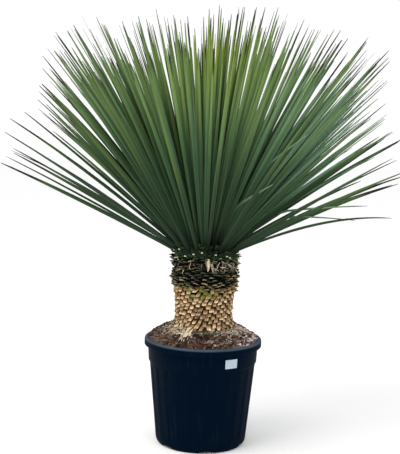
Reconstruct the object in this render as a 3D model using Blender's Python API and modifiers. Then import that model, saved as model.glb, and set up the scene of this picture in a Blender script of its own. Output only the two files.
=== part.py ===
"""A beaked yucca in a nursery pot, at its real size.

The origin is the middle of the pot's underside, +Z is up and the front is towards -Y.
Lengths are in metres and angles in degrees, unless a name says otherwise.
"""

import math
import random
from dataclasses import dataclass

import bmesh
import bpy
from mathutils import Matrix, Vector, noise

SEED = 11
UP = Vector((0.0, 0.0, 1.0))
GAP = 0.0003
SHARP_ANGLE = 35.0

# Pot
POT_HEIGHT = 0.336
RIM_RADIUS = 0.185
RIM_DEPTH = 0.022
RIM_THICKNESS = 0.0028
RIM_CORNER = 0.006
RIM_CORNER_STEPS = 2
RIM_STEP = 0.001
WALL = 0.0026
COLLAR_TOP_RADIUS = 0.1738
COLLAR_FOOT_RADIUS = 0.1710
COLLAR_FOOT_HEIGHT = 0.2645
SHOULDER_HEIGHT = 0.2605
BODY_TOP_RADIUS = 0.1672
BODY_FOOT_RADIUS = 0.1442
BODY_FOOT_HEIGHT = 0.022
BASE_RADIUS = 0.1330
FOOT_CORNER_STEPS = 3
FLOOR = 0.003
POT_SIDES = 48
FLUTE_COUNT = 16
FLUTE_DEPTH = 0.0018
FLUTE_TOP = 0.252
FLUTE_FOOT = 0.034
FLUTE_RUN_OUT = 0.008
DRAIN_COUNT = 6
DRAIN_FIRST_ANGLE = -80.0
DRAIN_WIDTH = 0.050
DRAIN_HEIGHT = 0.0085
DRAIN_REACH = (0.124, 0.160)

# Label on the collar
LABEL_WIDTH = 0.041
LABEL_HEIGHT = 0.028
LABEL_THICKNESS = 0.0006
LABEL_MIDDLE_HEIGHT = 0.2875
LABEL_ANGLE = -59.2
LABEL_STEPS = 6

# Soil
SOIL_SIDES = 32
SOIL_RINGS = 5
SOIL_EDGE_HEIGHT = 0.333
SOIL_TOP_HEIGHT = 0.3765
SOIL_CREST_POWER = 0.68
SOIL_BUMP = 0.0022
SOIL_BUMPS_PER_METRE = 38.0
SOIL_LEAN = 0.002
SOIL_LEAN_ANGLE = 150.0

# Trunk
TRUNK_FOOT_HEIGHT = 0.300
TRUNK_FOOT_RADIUS = 0.098
TRUNK_FLARE_RADIUS = 0.104
TRUNK_WAIST_RADIUS = 0.0838
TRUNK_TOP_RADIUS = 0.0910
TRUNK_FLARE_HEIGHT = 0.006
TRUNK_FLARE_POWER = 1.5
TRUNK_TOP_HEIGHT = 0.487
SCAR_COLUMNS = 28
SCAR_ROWS = 12
SCAR_MARGIN = 0.0016
SCAR_RISE = (0.0027, 0.0041)
SCAR_LIP = 0.0024
SCAR_TWIST_PER_METRE = -285.0

# Band of old leaf bases
BAND_COLUMNS = 22
BAND_ROWS = 14
BAND_TOP_HEIGHT = 0.599
BAND_FOOT_RADIUS = 0.0930
BAND_TOP_RADIUS = 0.1005
FLAKE_LENGTH = (0.010, 0.018)
FLAKE_LIFT = (-0.001, 0.003)
FLAKE_TIP_SHARE = (0.22, 0.63)
FLAKE_TIP_NOTCH = 0.0034
BAND_TWIST_PER_METRE = -120.0

# Crown
HEART_RADIUS = 0.100
HEART_HEIGHT = 0.085
HEART_SIDES = 16
HEART_RINGS = 4
LEAF_COUNT = 375
LEAF_SPREAD = 67.0
ROOT_SPREAD = 86.0
LOW_LEAF_TILT = 4.0
LEFT_REACH = 0.03
OUTER_LEAF_SHARE = 0.20
DENSE_SPREAD = 54.0
GOLDEN_ANGLE = 137.508
ANGLE_SCATTER = 2.5
LEAN_SCATTER = 2.0
MIDDLE_LEAF_LENGTH = 0.660
LONGEST_LEAF_LENGTH = 0.715
LONGEST_LEAF_LEAN = 34.0
LOWEST_LEAF_LENGTH = 0.545
LENGTH_SHARE = (0.92, 1.03)
DROOP = 2.0
LOW_LEAF_DROOP = 9.0
DROOP_SHARE = (0.3, 1.3)
DROOP_POWER = 1.6
DROOP_STEPS = 12
LEAF_ROLL = 20.0
LEAF_WIDTH = 0.0140
LEAF_KEEL = 0.0026
LEAF_KEEL_TAPER = 0.5
LEAF_ROOT_DEPTH = 0.016
LEAF_CLEARANCE = 0.0015
LEAF_STATIONS = (0.0, 0.42, 0.78)
LEAF_WIDTHS = (1.35, 1.0, 0.84)
LEAF_TIP_WIDTH = 0.01


def clear_scene():
    """Removes whatever the startup scene holds."""
    for old in list(bpy.data.objects):
        bpy.data.objects.remove(old)


def collection_named(name):
    """A new collection in the scene."""
    made = bpy.data.collections.new(name)
    bpy.context.scene.collection.children.link(made)
    return made


def material(name, colour, roughness):
    """A plain finish in the piece's own colour."""
    made = bpy.data.materials.new(name)
    made.use_nodes = True
    shader = made.node_tree.nodes["Principled BSDF"]
    shader.inputs["Base Color"].default_value = (*colour, 1.0)
    shader.inputs["Roughness"].default_value = roughness
    shader.inputs["Metallic"].default_value = 0.0
    return made


def add_object(name, mesh, collection, finish=None, height=0.0):
    """An object that shows this mesh, with its own origin at this height on the axis."""
    made = bpy.data.objects.new(name, mesh)
    made.location.z = height
    collection.objects.link(made)
    if finish:
        made.data.materials.append(finish)
    return made


def bake_modifiers(piece):
    """Gives the piece the mesh that its modifiers make, and drops them."""
    bpy.context.view_layer.update()
    evaluated = piece.evaluated_get(bpy.context.evaluated_depsgraph_get())
    mesh = bpy.data.meshes.new_from_object(evaluated)
    piece.modifiers.clear()
    piece.data = mesh


def smooth(mesh):
    """Shades the round faces smooth and keeps the corners sharp."""
    mesh.shade_smooth()
    mesh.set_sharp_from_angle(angle=math.radians(SHARP_ANGLE))


def polar(radius, angle, height):
    """A point at this radius and angle (radians) round the pot's axis."""
    return Vector((radius * math.cos(angle), radius * math.sin(angle), height))


def turned(name, profile, sides, collection, finish, sweep=360.0, height=0.0):
    """A profile of (radius, height) points, turned round Z by a Screw modifier."""
    mesh = bpy.data.meshes.new(name)
    edges = [(i, i + 1) for i in range(len(profile) - 1)]
    mesh.from_pydata([(radius, 0.0, z) for radius, z in profile], edges, [])
    piece = add_object(name, mesh, collection, finish, height)
    screw = piece.modifiers.new("turn", "SCREW")
    screw.angle = math.radians(sweep)
    screw.steps = screw.render_steps = sides
    screw.use_merge_vertices = sweep == 360.0
    screw.merge_threshold = 0.00005
    return piece


def between(low, high, share):
    """The value at this share of the way from low to high."""
    return low + (high - low) * share


# Pot, label and soil


def corner(middle, across, rise, steps):
    """A quarter of an ellipse round this (radius, height), from straight above or below out to level."""
    turns = [math.pi / 2 * step / steps for step in range(steps + 1)]
    return [(middle[0] + across * math.sin(turn), middle[1] + rise * math.cos(turn)) for turn in turns]


def collar_radius(height):
    """The collar's outer radius at this height."""
    share = (height - COLLAR_FOOT_HEIGHT) / (POT_HEIGHT - RIM_DEPTH - COLLAR_FOOT_HEIGHT)
    return between(COLLAR_FOOT_RADIUS, COLLAR_TOP_RADIUS, share)


def inner_profile():
    """The inside of the pot, from the middle of its floor up to the rim."""
    return [
        (0.0, FLOOR),
        (BASE_RADIUS - WALL, FLOOR),
        (BODY_FOOT_RADIUS - WALL, BODY_FOOT_HEIGHT),
        (BODY_TOP_RADIUS - WALL, SHOULDER_HEIGHT),
        (COLLAR_FOOT_RADIUS - WALL, COLLAR_FOOT_HEIGHT),
        (COLLAR_TOP_RADIUS - WALL, POT_HEIGHT - WALL),
    ]


def make_pot(collection, cutters, finish):
    """The container: floor, fluted wall, collar and turned-down rim, with drain slots at the foot."""
    flute_heights = (FLUTE_TOP, FLUTE_TOP - FLUTE_RUN_OUT, FLUTE_FOOT + FLUTE_RUN_OUT, FLUTE_FOOT)
    taper = (BODY_TOP_RADIUS - BODY_FOOT_RADIUS) / (SHOULDER_HEIGHT - BODY_FOOT_HEIGHT)
    wall = [(BODY_FOOT_RADIUS + taper * (z - BODY_FOOT_HEIGHT), z) for z in flute_heights]
    rim_foot = POT_HEIGHT - RIM_DEPTH
    shelf = POT_HEIGHT - RIM_CORNER
    foot_bulge = BODY_FOOT_RADIUS - BASE_RADIUS
    profile = [
        *inner_profile(),
        (COLLAR_TOP_RADIUS + RIM_STEP, POT_HEIGHT),
        *corner((RIM_RADIUS - RIM_CORNER, shelf), RIM_CORNER, RIM_CORNER, RIM_CORNER_STEPS),
        (RIM_RADIUS, rim_foot),
        (RIM_RADIUS - RIM_THICKNESS, rim_foot),
        (RIM_RADIUS - RIM_THICKNESS, shelf - RIM_STEP),
        (collar_radius(shelf), shelf),
        (COLLAR_FOOT_RADIUS, COLLAR_FOOT_HEIGHT),
        (BODY_TOP_RADIUS, SHOULDER_HEIGHT),
        *wall,
        *reversed(corner((BASE_RADIUS, BODY_FOOT_HEIGHT), foot_bulge, -BODY_FOOT_HEIGHT, FOOT_CORNER_STEPS)),
        (0.0, 0.0),
    ]
    pot = turned("pot", profile, POT_SIDES, collection, finish)
    bake_modifiers(pot)
    press_flutes(pot.data, flute_heights[1:3])
    smooth(pot.data)
    cut_drains(pot, cutters)
    return pot


def press_flutes(mesh, heights):
    """Sinks the outer wall between evenly spaced ribs, on the rings at these heights."""
    sides_per_flute = POT_SIDES // FLUTE_COUNT
    for vertex in mesh.vertices:
        if min(abs(vertex.co.z - height) for height in heights) > GAP:
            continue
        side = round(math.atan2(vertex.co.y, vertex.co.x) / (2 * math.pi / POT_SIDES))
        if side % sides_per_flute:
            radius = vertex.co.xy.length
            vertex.co.xy *= (radius - FLUTE_DEPTH) / radius


def cut_drains(pot, cutters):
    """Cuts the drain slots through the corner between wall and floor."""
    near, far = DRAIN_REACH
    for index in range(DRAIN_COUNT):
        angle = math.radians(DRAIN_FIRST_ANGLE + index * 360.0 / DRAIN_COUNT)
        bpy.ops.mesh.primitive_cube_add(size=1.0)
        cutter = bpy.context.object
        cutter.name = f"drain_cutter_{index}"
        cutter.data.transform(Matrix.Diagonal((far - near, DRAIN_WIDTH, 2 * DRAIN_HEIGHT, 1.0)))
        cutter.location = polar((near + far) / 2, angle, 0.0)
        cutter.rotation_euler.z = angle
        cutter.hide_render = True
        cutter.display_type = "WIRE"
        for home in list(cutter.users_collection):
            home.objects.unlink(cutter)
        cutters.objects.link(cutter)
        cut = pot.modifiers.new(f"drain_{index}", "BOOLEAN")
        cut.operation = "DIFFERENCE"
        cut.object = cutter


def make_label(collection, finish):
    """A blank sticker that follows the collar's curve."""
    low = LABEL_MIDDLE_HEIGHT - LABEL_HEIGHT / 2
    high = LABEL_MIDDLE_HEIGHT + LABEL_HEIGHT / 2
    profile = [(collar_radius(z) + GAP, z) for z in (high, low)]
    sweep = math.degrees(LABEL_WIDTH / COLLAR_FOOT_RADIUS)
    label = turned("label", profile, LABEL_STEPS, collection, finish, sweep)
    skin = label.modifiers.new("thickness", "SOLIDIFY")
    skin.thickness = LABEL_THICKNESS
    skin.offset = 1.0
    label.rotation_euler.z = math.radians(LABEL_ANGLE - sweep / 2)
    return label


def make_soil(collection, finish):
    """The potting mix: it fills the pot, is heaped round the trunk, and has a plain hole for it."""
    clear_of_flats = math.cos(math.pi / POT_SIDES)
    sides = [(radius * clear_of_flats - GAP, height) for radius, height in inner_profile()[1:5]]
    floor_radius = sides[0][0]
    edge_radius = (COLLAR_TOP_RADIUS - WALL) * clear_of_flats - 2 * GAP
    hole_radius = TRUNK_FOOT_RADIUS / math.cos(math.pi / SOIL_SIDES) + GAP
    shares = [ring / SOIL_RINGS for ring in range(SOIL_RINGS + 1)]
    radii = [between(hole_radius, edge_radius, share) for share in shares]
    heights = [
        between(SOIL_EDGE_HEIGHT, SOIL_TOP_HEIGHT, (1.0 - share) ** SOIL_CREST_POWER) for share in shares
    ]
    profile = [
        (0.0, TRUNK_FOOT_HEIGHT - GAP),
        (hole_radius, TRUNK_FOOT_HEIGHT - GAP),
        *zip(radii, heights),
        *reversed(sides[1:]),
        (floor_radius, FLOOR + GAP),
        (0.0, FLOOR + GAP),
    ]
    soil = turned("soil", profile, SOIL_SIDES, collection, finish)
    bake_modifiers(soil)
    for vertex in soil.data.vertices:
        is_heap = vertex.co.z > SOIL_EDGE_HEIGHT - GAP
        if is_heap and vertex.co.xy.length > hole_radius + GAP:
            vertex.co.z += soil_bump(vertex.co.x, vertex.co.y)
    smooth(soil.data)
    return soil


def soil_bump(x, y):
    """How much the soil's surface stands above its plain heap at this place."""
    lean_way = polar(1.0, math.radians(SOIL_LEAN_ANGLE), 0.0)
    lean = SOIL_LEAN * (x * lean_way.x + y * lean_way.y) / COLLAR_FOOT_RADIUS
    return lean + SOIL_BUMP * noise.noise(Vector((x, y, 0.0)) * SOIL_BUMPS_PER_METRE)


# Trunk and band


def diamond_stem(columns, rows, height, twist_per_metre):
    """A unit-radius stem from Z = 0 whose skin is a lattice of diamonds, and the list of those diamonds.

    Each row of a subdivided cylinder is turned by half a column more than the one below. Its
    quads are split along their steep diagonal, and the level edges between rows are dissolved.
    """
    lattice = bmesh.new()
    bmesh.ops.create_cone(
        lattice, cap_ends=True, segments=columns, radius1=1.0, radius2=1.0, depth=height,
        matrix=Matrix.Translation((0.0, 0.0, height / 2)),
    )
    upright = [edge for edge in lattice.edges if abs(edge.verts[0].co.z - edge.verts[1].co.z) > height / 2]
    bmesh.ops.subdivide_edges(lattice, edges=upright, cuts=rows - 1, use_grid_fill=True)
    pitch = height / rows
    for vertex in lattice.verts:
        row = round(vertex.co.z / pitch)
        turn = math.pi / columns * row + math.radians(twist_per_metre) * row * pitch
        vertex.co = Matrix.Rotation(turn, 3, "Z") @ vertex.co
    split_steeply(lattice)
    level = [
        edge for edge in lattice.edges
        if abs(edge.verts[0].co.z - edge.verts[1].co.z) < pitch / 4
        and pitch / 2 < edge.verts[0].co.z < height - pitch / 2
    ]
    bmesh.ops.dissolve_edges(lattice, edges=level, use_verts=False)
    diamonds = [face for face in lattice.faces if len(face.verts) == 4]
    return lattice, diamonds


def split_steeply(lattice):
    """Splits each side quad from its lower right corner to its upper left one."""
    quads = [face for face in lattice.faces if len(face.verts) == 4]
    for face in quads:
        middle = face.calc_center_median()
        side = Vector((-middle.y, middle.x, 0.0)).normalized()
        low = [v for v in face.verts if v.co.z < middle.z]
        high = [v for v in face.verts if v.co.z > middle.z]
        low_right = max(low, key=lambda v: (v.co - middle).dot(side))
        high_left = min(high, key=lambda v: (v.co - middle).dot(side))
        bmesh.ops.connect_verts(lattice, verts=[low_right, high_left])


def trunk_radius(above_soil):
    """The trunk's plain radius at this height over the soil: a waisted stem that flares at its foot."""
    share = above_soil / (TRUNK_TOP_HEIGHT - SOIL_TOP_HEIGHT)
    stem = between(TRUNK_WAIST_RADIUS, TRUNK_TOP_RADIUS, share)
    flare = math.exp(-((above_soil / TRUNK_FLARE_HEIGHT) ** TRUNK_FLARE_POWER))
    return between(stem, TRUNK_FLARE_RADIUS, flare)


def make_trunk(collection, finish):
    """The tan stem: a plain foot in the soil, and diamond leaf scars raised on all that shows."""
    rng = random.Random(SEED)
    foot = SOIL_TOP_HEIGHT + GAP
    height = TRUNK_TOP_HEIGHT - foot
    lattice, scars = diamond_stem(SCAR_COLUMNS, SCAR_ROWS, height, SCAR_TWIST_PER_METRE)
    for vertex in lattice.verts:
        vertex.co.xy *= trunk_radius(vertex.co.z)
    bmesh.ops.inset_individual(lattice, faces=scars, thickness=SCAR_MARGIN)
    for scar in scars:
        middle = scar.calc_center_median()
        rise = rng.uniform(*SCAR_RISE)
        half = max(abs(v.co.z - middle.z) for v in scar.verts)
        for vertex in scar.verts:
            out = rise + SCAR_LIP * (middle.z - vertex.co.z) / half
            vertex.co.xy *= 1.0 + out / vertex.co.xy.length
    extend_foot(lattice, foot)
    mesh = bpy.data.meshes.new("trunk")
    lattice.to_mesh(mesh)
    lattice.free()
    return add_object("trunk", mesh, collection, finish, foot)


def extend_foot(lattice, foot):
    """Draws the flat underside in, then down, to a plain round foot that stands in the soil."""
    under = min(lattice.faces, key=lambda face: face.calc_center_median().z)
    for depth in (0.0, foot - TRUNK_FOOT_HEIGHT):
        under = bmesh.ops.extrude_discrete_faces(lattice, faces=[under])["faces"][0]
        for vertex in under.verts:
            vertex.co.xy *= TRUNK_FOOT_RADIUS / vertex.co.xy.length
            vertex.co.z = -depth


def raise_flake(base, rng):
    """Splits a diamond from side to side along a ridge that stands out: a thin cut leaf base."""
    middle = base.calc_center_median()
    outward = Vector((middle.x, middle.y, 0.0)).normalized()
    side = Vector((-outward.y, outward.x, 0.0))
    left = min(base.verts, key=lambda v: v.co.dot(side))
    right = max(base.verts, key=lambda v: v.co.dot(side))
    half = (right.co - left.co).dot(side) / 2
    tip = middle + outward * rng.uniform(*FLAKE_LENGTH) + UP * rng.uniform(*FLAKE_LIFT)
    ridge = []
    for way in (-half, half):
        notch = outward * rng.uniform(0.0, FLAKE_TIP_NOTCH)
        ridge.append(tip - notch + side * (way * rng.uniform(*FLAKE_TIP_SHARE)))
    bmesh.utils.face_split(base, left, right, coords=ridge)


def make_old_leaf_bases(collection, finish):
    """The dark band: each diamond of its skin is drawn out to a thin cut leaf base."""
    rng = random.Random(SEED + 1)
    foot = TRUNK_TOP_HEIGHT + GAP
    height = BAND_TOP_HEIGHT - foot
    lattice, bases = diamond_stem(BAND_COLUMNS, BAND_ROWS, height, BAND_TWIST_PER_METRE)
    for vertex in lattice.verts:
        vertex.co.xy *= between(BAND_FOOT_RADIUS, BAND_TOP_RADIUS, vertex.co.z / height)
    for base in bases:
        raise_flake(base, rng)
    mesh = bpy.data.meshes.new("old_leaf_bases")
    lattice.to_mesh(mesh)
    lattice.free()
    return add_object("old_leaf_bases", mesh, collection, finish, foot)


# Crown


def leaf_lean(share):
    """The angle from upright at which a leaf leaves the heart, for its place from the middle (0) out (1)."""
    if share < 1.0 - OUTER_LEAF_SHARE:
        dense_share = share / (1.0 - OUTER_LEAF_SHARE)
        return math.degrees(math.acos(1.0 - dense_share * (1.0 - math.cos(math.radians(DENSE_SPREAD)))))
    outer_share = (share - 1.0 + OUTER_LEAF_SHARE) / OUTER_LEAF_SHARE
    return between(DENSE_SPREAD, LEAF_SPREAD, outer_share)


def leaf_length(lean):
    """A leaf's length from the heart's skin: longest part way out, shortest low down."""
    if lean < LONGEST_LEAF_LEAN:
        return between(MIDDLE_LEAF_LENGTH, LONGEST_LEAF_LENGTH, max(lean, 0.0) / LONGEST_LEAF_LEAN)
    share = (lean - LONGEST_LEAF_LEAN) / (LEAF_SPREAD - LONGEST_LEAF_LEAN)
    return between(LONGEST_LEAF_LENGTH, LOWEST_LEAF_LENGTH, share)


@dataclass(frozen=True)
class Leaf:
    """How one leaf stands: angles in radians, round the axis, from upright and about its own length."""

    angle: float
    lean: float
    droop: float
    roll: float
    length: float
    root: Vector

    def lean_at(self, share):
        """The angle from upright at this share of the leaf's length."""
        return self.lean + self.droop * share ** DROOP_POWER

    def middle_at(self, share):
        """The place of the leaf's middle line at this share of its length."""
        way_out = polar(1.0, self.angle, 0.0)
        place = self.root.copy()
        step = share / DROOP_STEPS
        for index in range(DROOP_STEPS):
            lean = self.lean_at((index + 0.5) * step)
            place += (way_out * math.sin(lean) + UP * math.cos(lean)) * (step * self.length)
        return place


def draw_leaf(index, rng):
    """The leaf of this number, counted from the middle of the crown out."""
    share = (index + 0.5) / LEAF_COUNT
    angle = math.radians(index * GOLDEN_ANGLE + rng.uniform(-ANGLE_SCATTER, ANGLE_SCATTER))
    plain_lean = leaf_lean(share)
    root_angle = math.radians(plain_lean / LEAF_SPREAD * ROOT_SPREAD)
    tilt = LOW_LEAF_TILT * share ** 2 * math.cos(angle)
    lean = plain_lean + tilt + rng.uniform(-LEAN_SCATTER, LEAN_SCATTER)
    droop = DROOP + LOW_LEAF_DROOP * math.sin(math.radians(lean)) ** 2
    length = leaf_length(lean) * (1.0 - LEFT_REACH * math.cos(angle))
    return Leaf(
        angle=angle,
        lean=math.radians(lean),
        droop=math.radians(droop * rng.uniform(*DROOP_SHARE)),
        roll=math.radians(rng.uniform(-LEAF_ROLL, LEAF_ROLL)),
        length=length * rng.uniform(*LENGTH_SHARE),
        root=polar(HEART_RADIUS * math.sin(root_angle), angle, HEART_HEIGHT * math.cos(root_angle)),
    )


def blade_blank():
    """A straight three-sided blade of unit length, width and keel depth, along +Z."""
    blank = bmesh.new()
    first = LEAF_STATIONS[1]
    bmesh.ops.create_cone(
        blank, cap_ends=True, segments=3, radius1=1.0, radius2=1.0, depth=first,
        matrix=Matrix.Translation((0.0, 0.0, first / 2)),
    )
    highest = max(vertex.co.y for vertex in blank.verts)
    for vertex in blank.verts:
        is_keel = vertex.co.y > highest - GAP
        vertex.co.y = 1.0 if is_keel else 0.0
        width = LEAF_WIDTHS[0] if vertex.co.z < first / 2 else LEAF_WIDTHS[1]
        vertex.co.x = 0.0 if is_keel else math.copysign(width / 2, vertex.co.x)
    end = max(blank.faces, key=lambda face: face.calc_center_median().z)
    for station, width in [*zip(LEAF_STATIONS[2:], LEAF_WIDTHS[2:]), (1.0, LEAF_TIP_WIDTH)]:
        end = bmesh.ops.extrude_discrete_faces(blank, faces=[end])["faces"][0]
        for vertex in end.verts:
            vertex.co.x = math.copysign(width / 2, vertex.co.x) if abs(vertex.co.x) > GAP else 0.0
            vertex.co.z = station
    bmesh.ops.pointmerge(blank, verts=end.verts, merge_co=(0.0, 0.0, 1.0))
    mesh = bpy.data.meshes.new("blade_blank")
    blank.to_mesh(mesh)
    blank.free()
    return mesh


def bend_blade(blank, leaf):
    """A copy of the straight blade, bent and placed as this leaf, with its root sunk in the heart."""
    way_out = polar(1.0, leaf.angle, 0.0)
    way_across = way_out.cross(UP)
    mesh = blank.copy()
    for vertex in mesh.vertices:
        along = max(vertex.co.z, 0.0)
        lean = leaf.lean_at(along)
        ahead = way_out * math.sin(lean) + UP * math.cos(lean)
        under = way_out * math.cos(lean) - UP * math.sin(lean)
        across = way_across * math.cos(leaf.roll) + under * math.sin(leaf.roll)
        keel = under * math.cos(leaf.roll) - way_across * math.sin(leaf.roll)
        sunk = LEAF_ROOT_DEPTH if along == 0.0 else 0.0
        depth = vertex.co.y * LEAF_KEEL * (1.0 - LEAF_KEEL_TAPER * along)
        vertex.co = leaf.middle_at(along) - ahead * sunk + across * (vertex.co.x * LEAF_WIDTH) + keel * depth
        vertex.co.z = max(vertex.co.z, LEAF_CLEARANCE)
    return mesh


def make_leaf_crown(collection, finish):
    """The growing heart with its leaves, spaced by the golden angle from the middle out."""
    rng = random.Random(SEED + 2)
    foot = BAND_TOP_HEIGHT + GAP
    profile = [
        (HEART_RADIUS * math.sin(turn), HEART_HEIGHT * math.cos(turn))
        for turn in (math.pi / 2 * ring / HEART_RINGS for ring in range(HEART_RINGS + 1))
    ]
    crown = turned("leaf_crown", [*profile, (0.0, 0.0)], HEART_SIDES, collection, finish, height=foot)
    leaves = collection_named("leaves_to_join")
    blank = blade_blank()
    for index in range(LEAF_COUNT):
        mesh = bend_blade(blank, draw_leaf(index, rng))
        add_object(f"leaf_{index:03d}", mesh, leaves, height=foot)
    join = crown.modifiers.new("leaves", "BOOLEAN")
    join.operation = "UNION"
    join.operand_type = "COLLECTION"
    join.collection = leaves
    join.solver = "MANIFOLD"
    bake_modifiers(crown)
    for leaf in list(leaves.objects):
        bpy.data.objects.remove(leaf)
    bpy.data.collections.remove(leaves)
    return crown


def main():
    """Builds the whole part."""
    clear_scene()
    yucca = collection_named("potted_beaked_yucca")
    cutters = collection_named("cutters")
    origin = add_object("yucca_origin", None, yucca)
    pieces = [
        make_pot(yucca, cutters, material("black_plastic", (0.012, 0.016, 0.026), 0.42)),
        make_label(yucca, material("white_label", (0.80, 0.85, 0.88), 0.5)),
        make_soil(yucca, material("potting_mix", (0.10, 0.055, 0.038), 0.95)),
        make_trunk(yucca, material("tan_bark", (0.50, 0.35, 0.19), 0.85)),
        make_old_leaf_bases(yucca, material("dark_leaf_bases", (0.075, 0.065, 0.045), 0.85)),
        make_leaf_crown(yucca, material("leaf_green", (0.060, 0.125, 0.050), 0.55)),
    ]
    for piece in pieces:
        piece.parent = origin


main()
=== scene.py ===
"""Looks of a potted beaked yucca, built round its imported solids.

Lengths are in metres and angles in degrees, unless a name says otherwise. The frame is that of
the solids: the origin is the middle of the pot's underside, +Z is up and the front is towards -Y.
"""

from __future__ import annotations

import logging
import math
import random
from collections.abc import Callable, Iterator
from contextlib import contextmanager
from dataclasses import dataclass
from enum import Enum
from itertools import pairwise
from typing import Any, ClassVar

import bpy
import numpy as np
from mathutils import Matrix, Vector, noise

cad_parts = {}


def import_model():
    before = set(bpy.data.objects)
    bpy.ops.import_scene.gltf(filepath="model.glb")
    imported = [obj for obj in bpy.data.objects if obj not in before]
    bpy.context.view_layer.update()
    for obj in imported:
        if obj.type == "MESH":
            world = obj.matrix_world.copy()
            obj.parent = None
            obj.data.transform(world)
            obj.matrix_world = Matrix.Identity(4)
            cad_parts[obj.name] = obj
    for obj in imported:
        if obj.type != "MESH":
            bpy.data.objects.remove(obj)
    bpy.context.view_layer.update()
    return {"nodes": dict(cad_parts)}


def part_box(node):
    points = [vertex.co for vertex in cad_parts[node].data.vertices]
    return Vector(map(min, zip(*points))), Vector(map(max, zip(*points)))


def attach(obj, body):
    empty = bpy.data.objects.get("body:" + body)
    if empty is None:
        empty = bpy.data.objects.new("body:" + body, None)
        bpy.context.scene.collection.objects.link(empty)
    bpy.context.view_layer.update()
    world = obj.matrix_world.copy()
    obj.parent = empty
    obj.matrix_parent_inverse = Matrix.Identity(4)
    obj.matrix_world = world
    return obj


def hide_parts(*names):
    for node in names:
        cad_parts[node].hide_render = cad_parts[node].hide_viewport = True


LOG = logging.getLogger("yucca")
BODY = "root"
SEED = 23
SKIN_GAP = 0.0003
GOLDEN_ANGLE = 137.508
EYE_DISTANCE = 3.2
EYE_HEIGHT = 1.07
Colour = tuple[float, float, float]
Pair = tuple[float, float]


class Slot(Enum):
    """The record's material slots: each new piece is handed over with one, which is not given to it."""

    POT = "pot"
    SOIL = "soil"
    TRUNK = "trunk"
    OLD_BASES = "old_leaf_bases"
    LEAVES = "leaves"


# Shader maths


class Channel:
    """What a node puts out, which takes part in Python sums."""

    def __init__(self, recipe: Recipe, socket: bpy.types.NodeSocket) -> None:
        """Wraps the output of a node in this material."""
        self.recipe = recipe
        self.socket = socket

    def __add__(self, other: Channel | float) -> Channel:
        """The sum of two numbers."""
        return self.recipe.sum("ADD", self, other)

    def __radd__(self, other: float) -> Channel:
        """The sum, with the plain number first."""
        return self.recipe.sum("ADD", other, self)

    def __sub__(self, other: Channel | float) -> Channel:
        """The difference of two numbers."""
        return self.recipe.sum("SUBTRACT", self, other)

    def __rsub__(self, other: float) -> Channel:
        """A plain number less this one."""
        return self.recipe.sum("SUBTRACT", other, self)

    def __mul__(self, other: Channel | float) -> Channel:
        """The product of two numbers."""
        return self.recipe.sum("MULTIPLY", self, other)

    def __rmul__(self, other: float) -> Channel:
        """The product, with the plain number first."""
        return self.recipe.sum("MULTIPLY", other, self)

    def __abs__(self) -> Channel:
        """This number without its sign."""
        return self.recipe.sum("ABSOLUTE", self, 0.0)

    def past(self, start: float, end: float) -> Channel:
        """How far this number is on its way from start to end, held between 0 and 1.

        Args:
            start: Where the result is 0.
            end: Where the result is 1. It may be below start.

        Returns:
            The share.
        """
        settings = {"interpolation_type": "SMOOTHSTEP"}
        flip = end < start
        sockets = {0: self, 1: min(start, end), 2: max(start, end), 3: float(flip), 4: float(not flip)}
        return self.recipe.node("ShaderNodeMapRange", settings, sockets)


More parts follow.
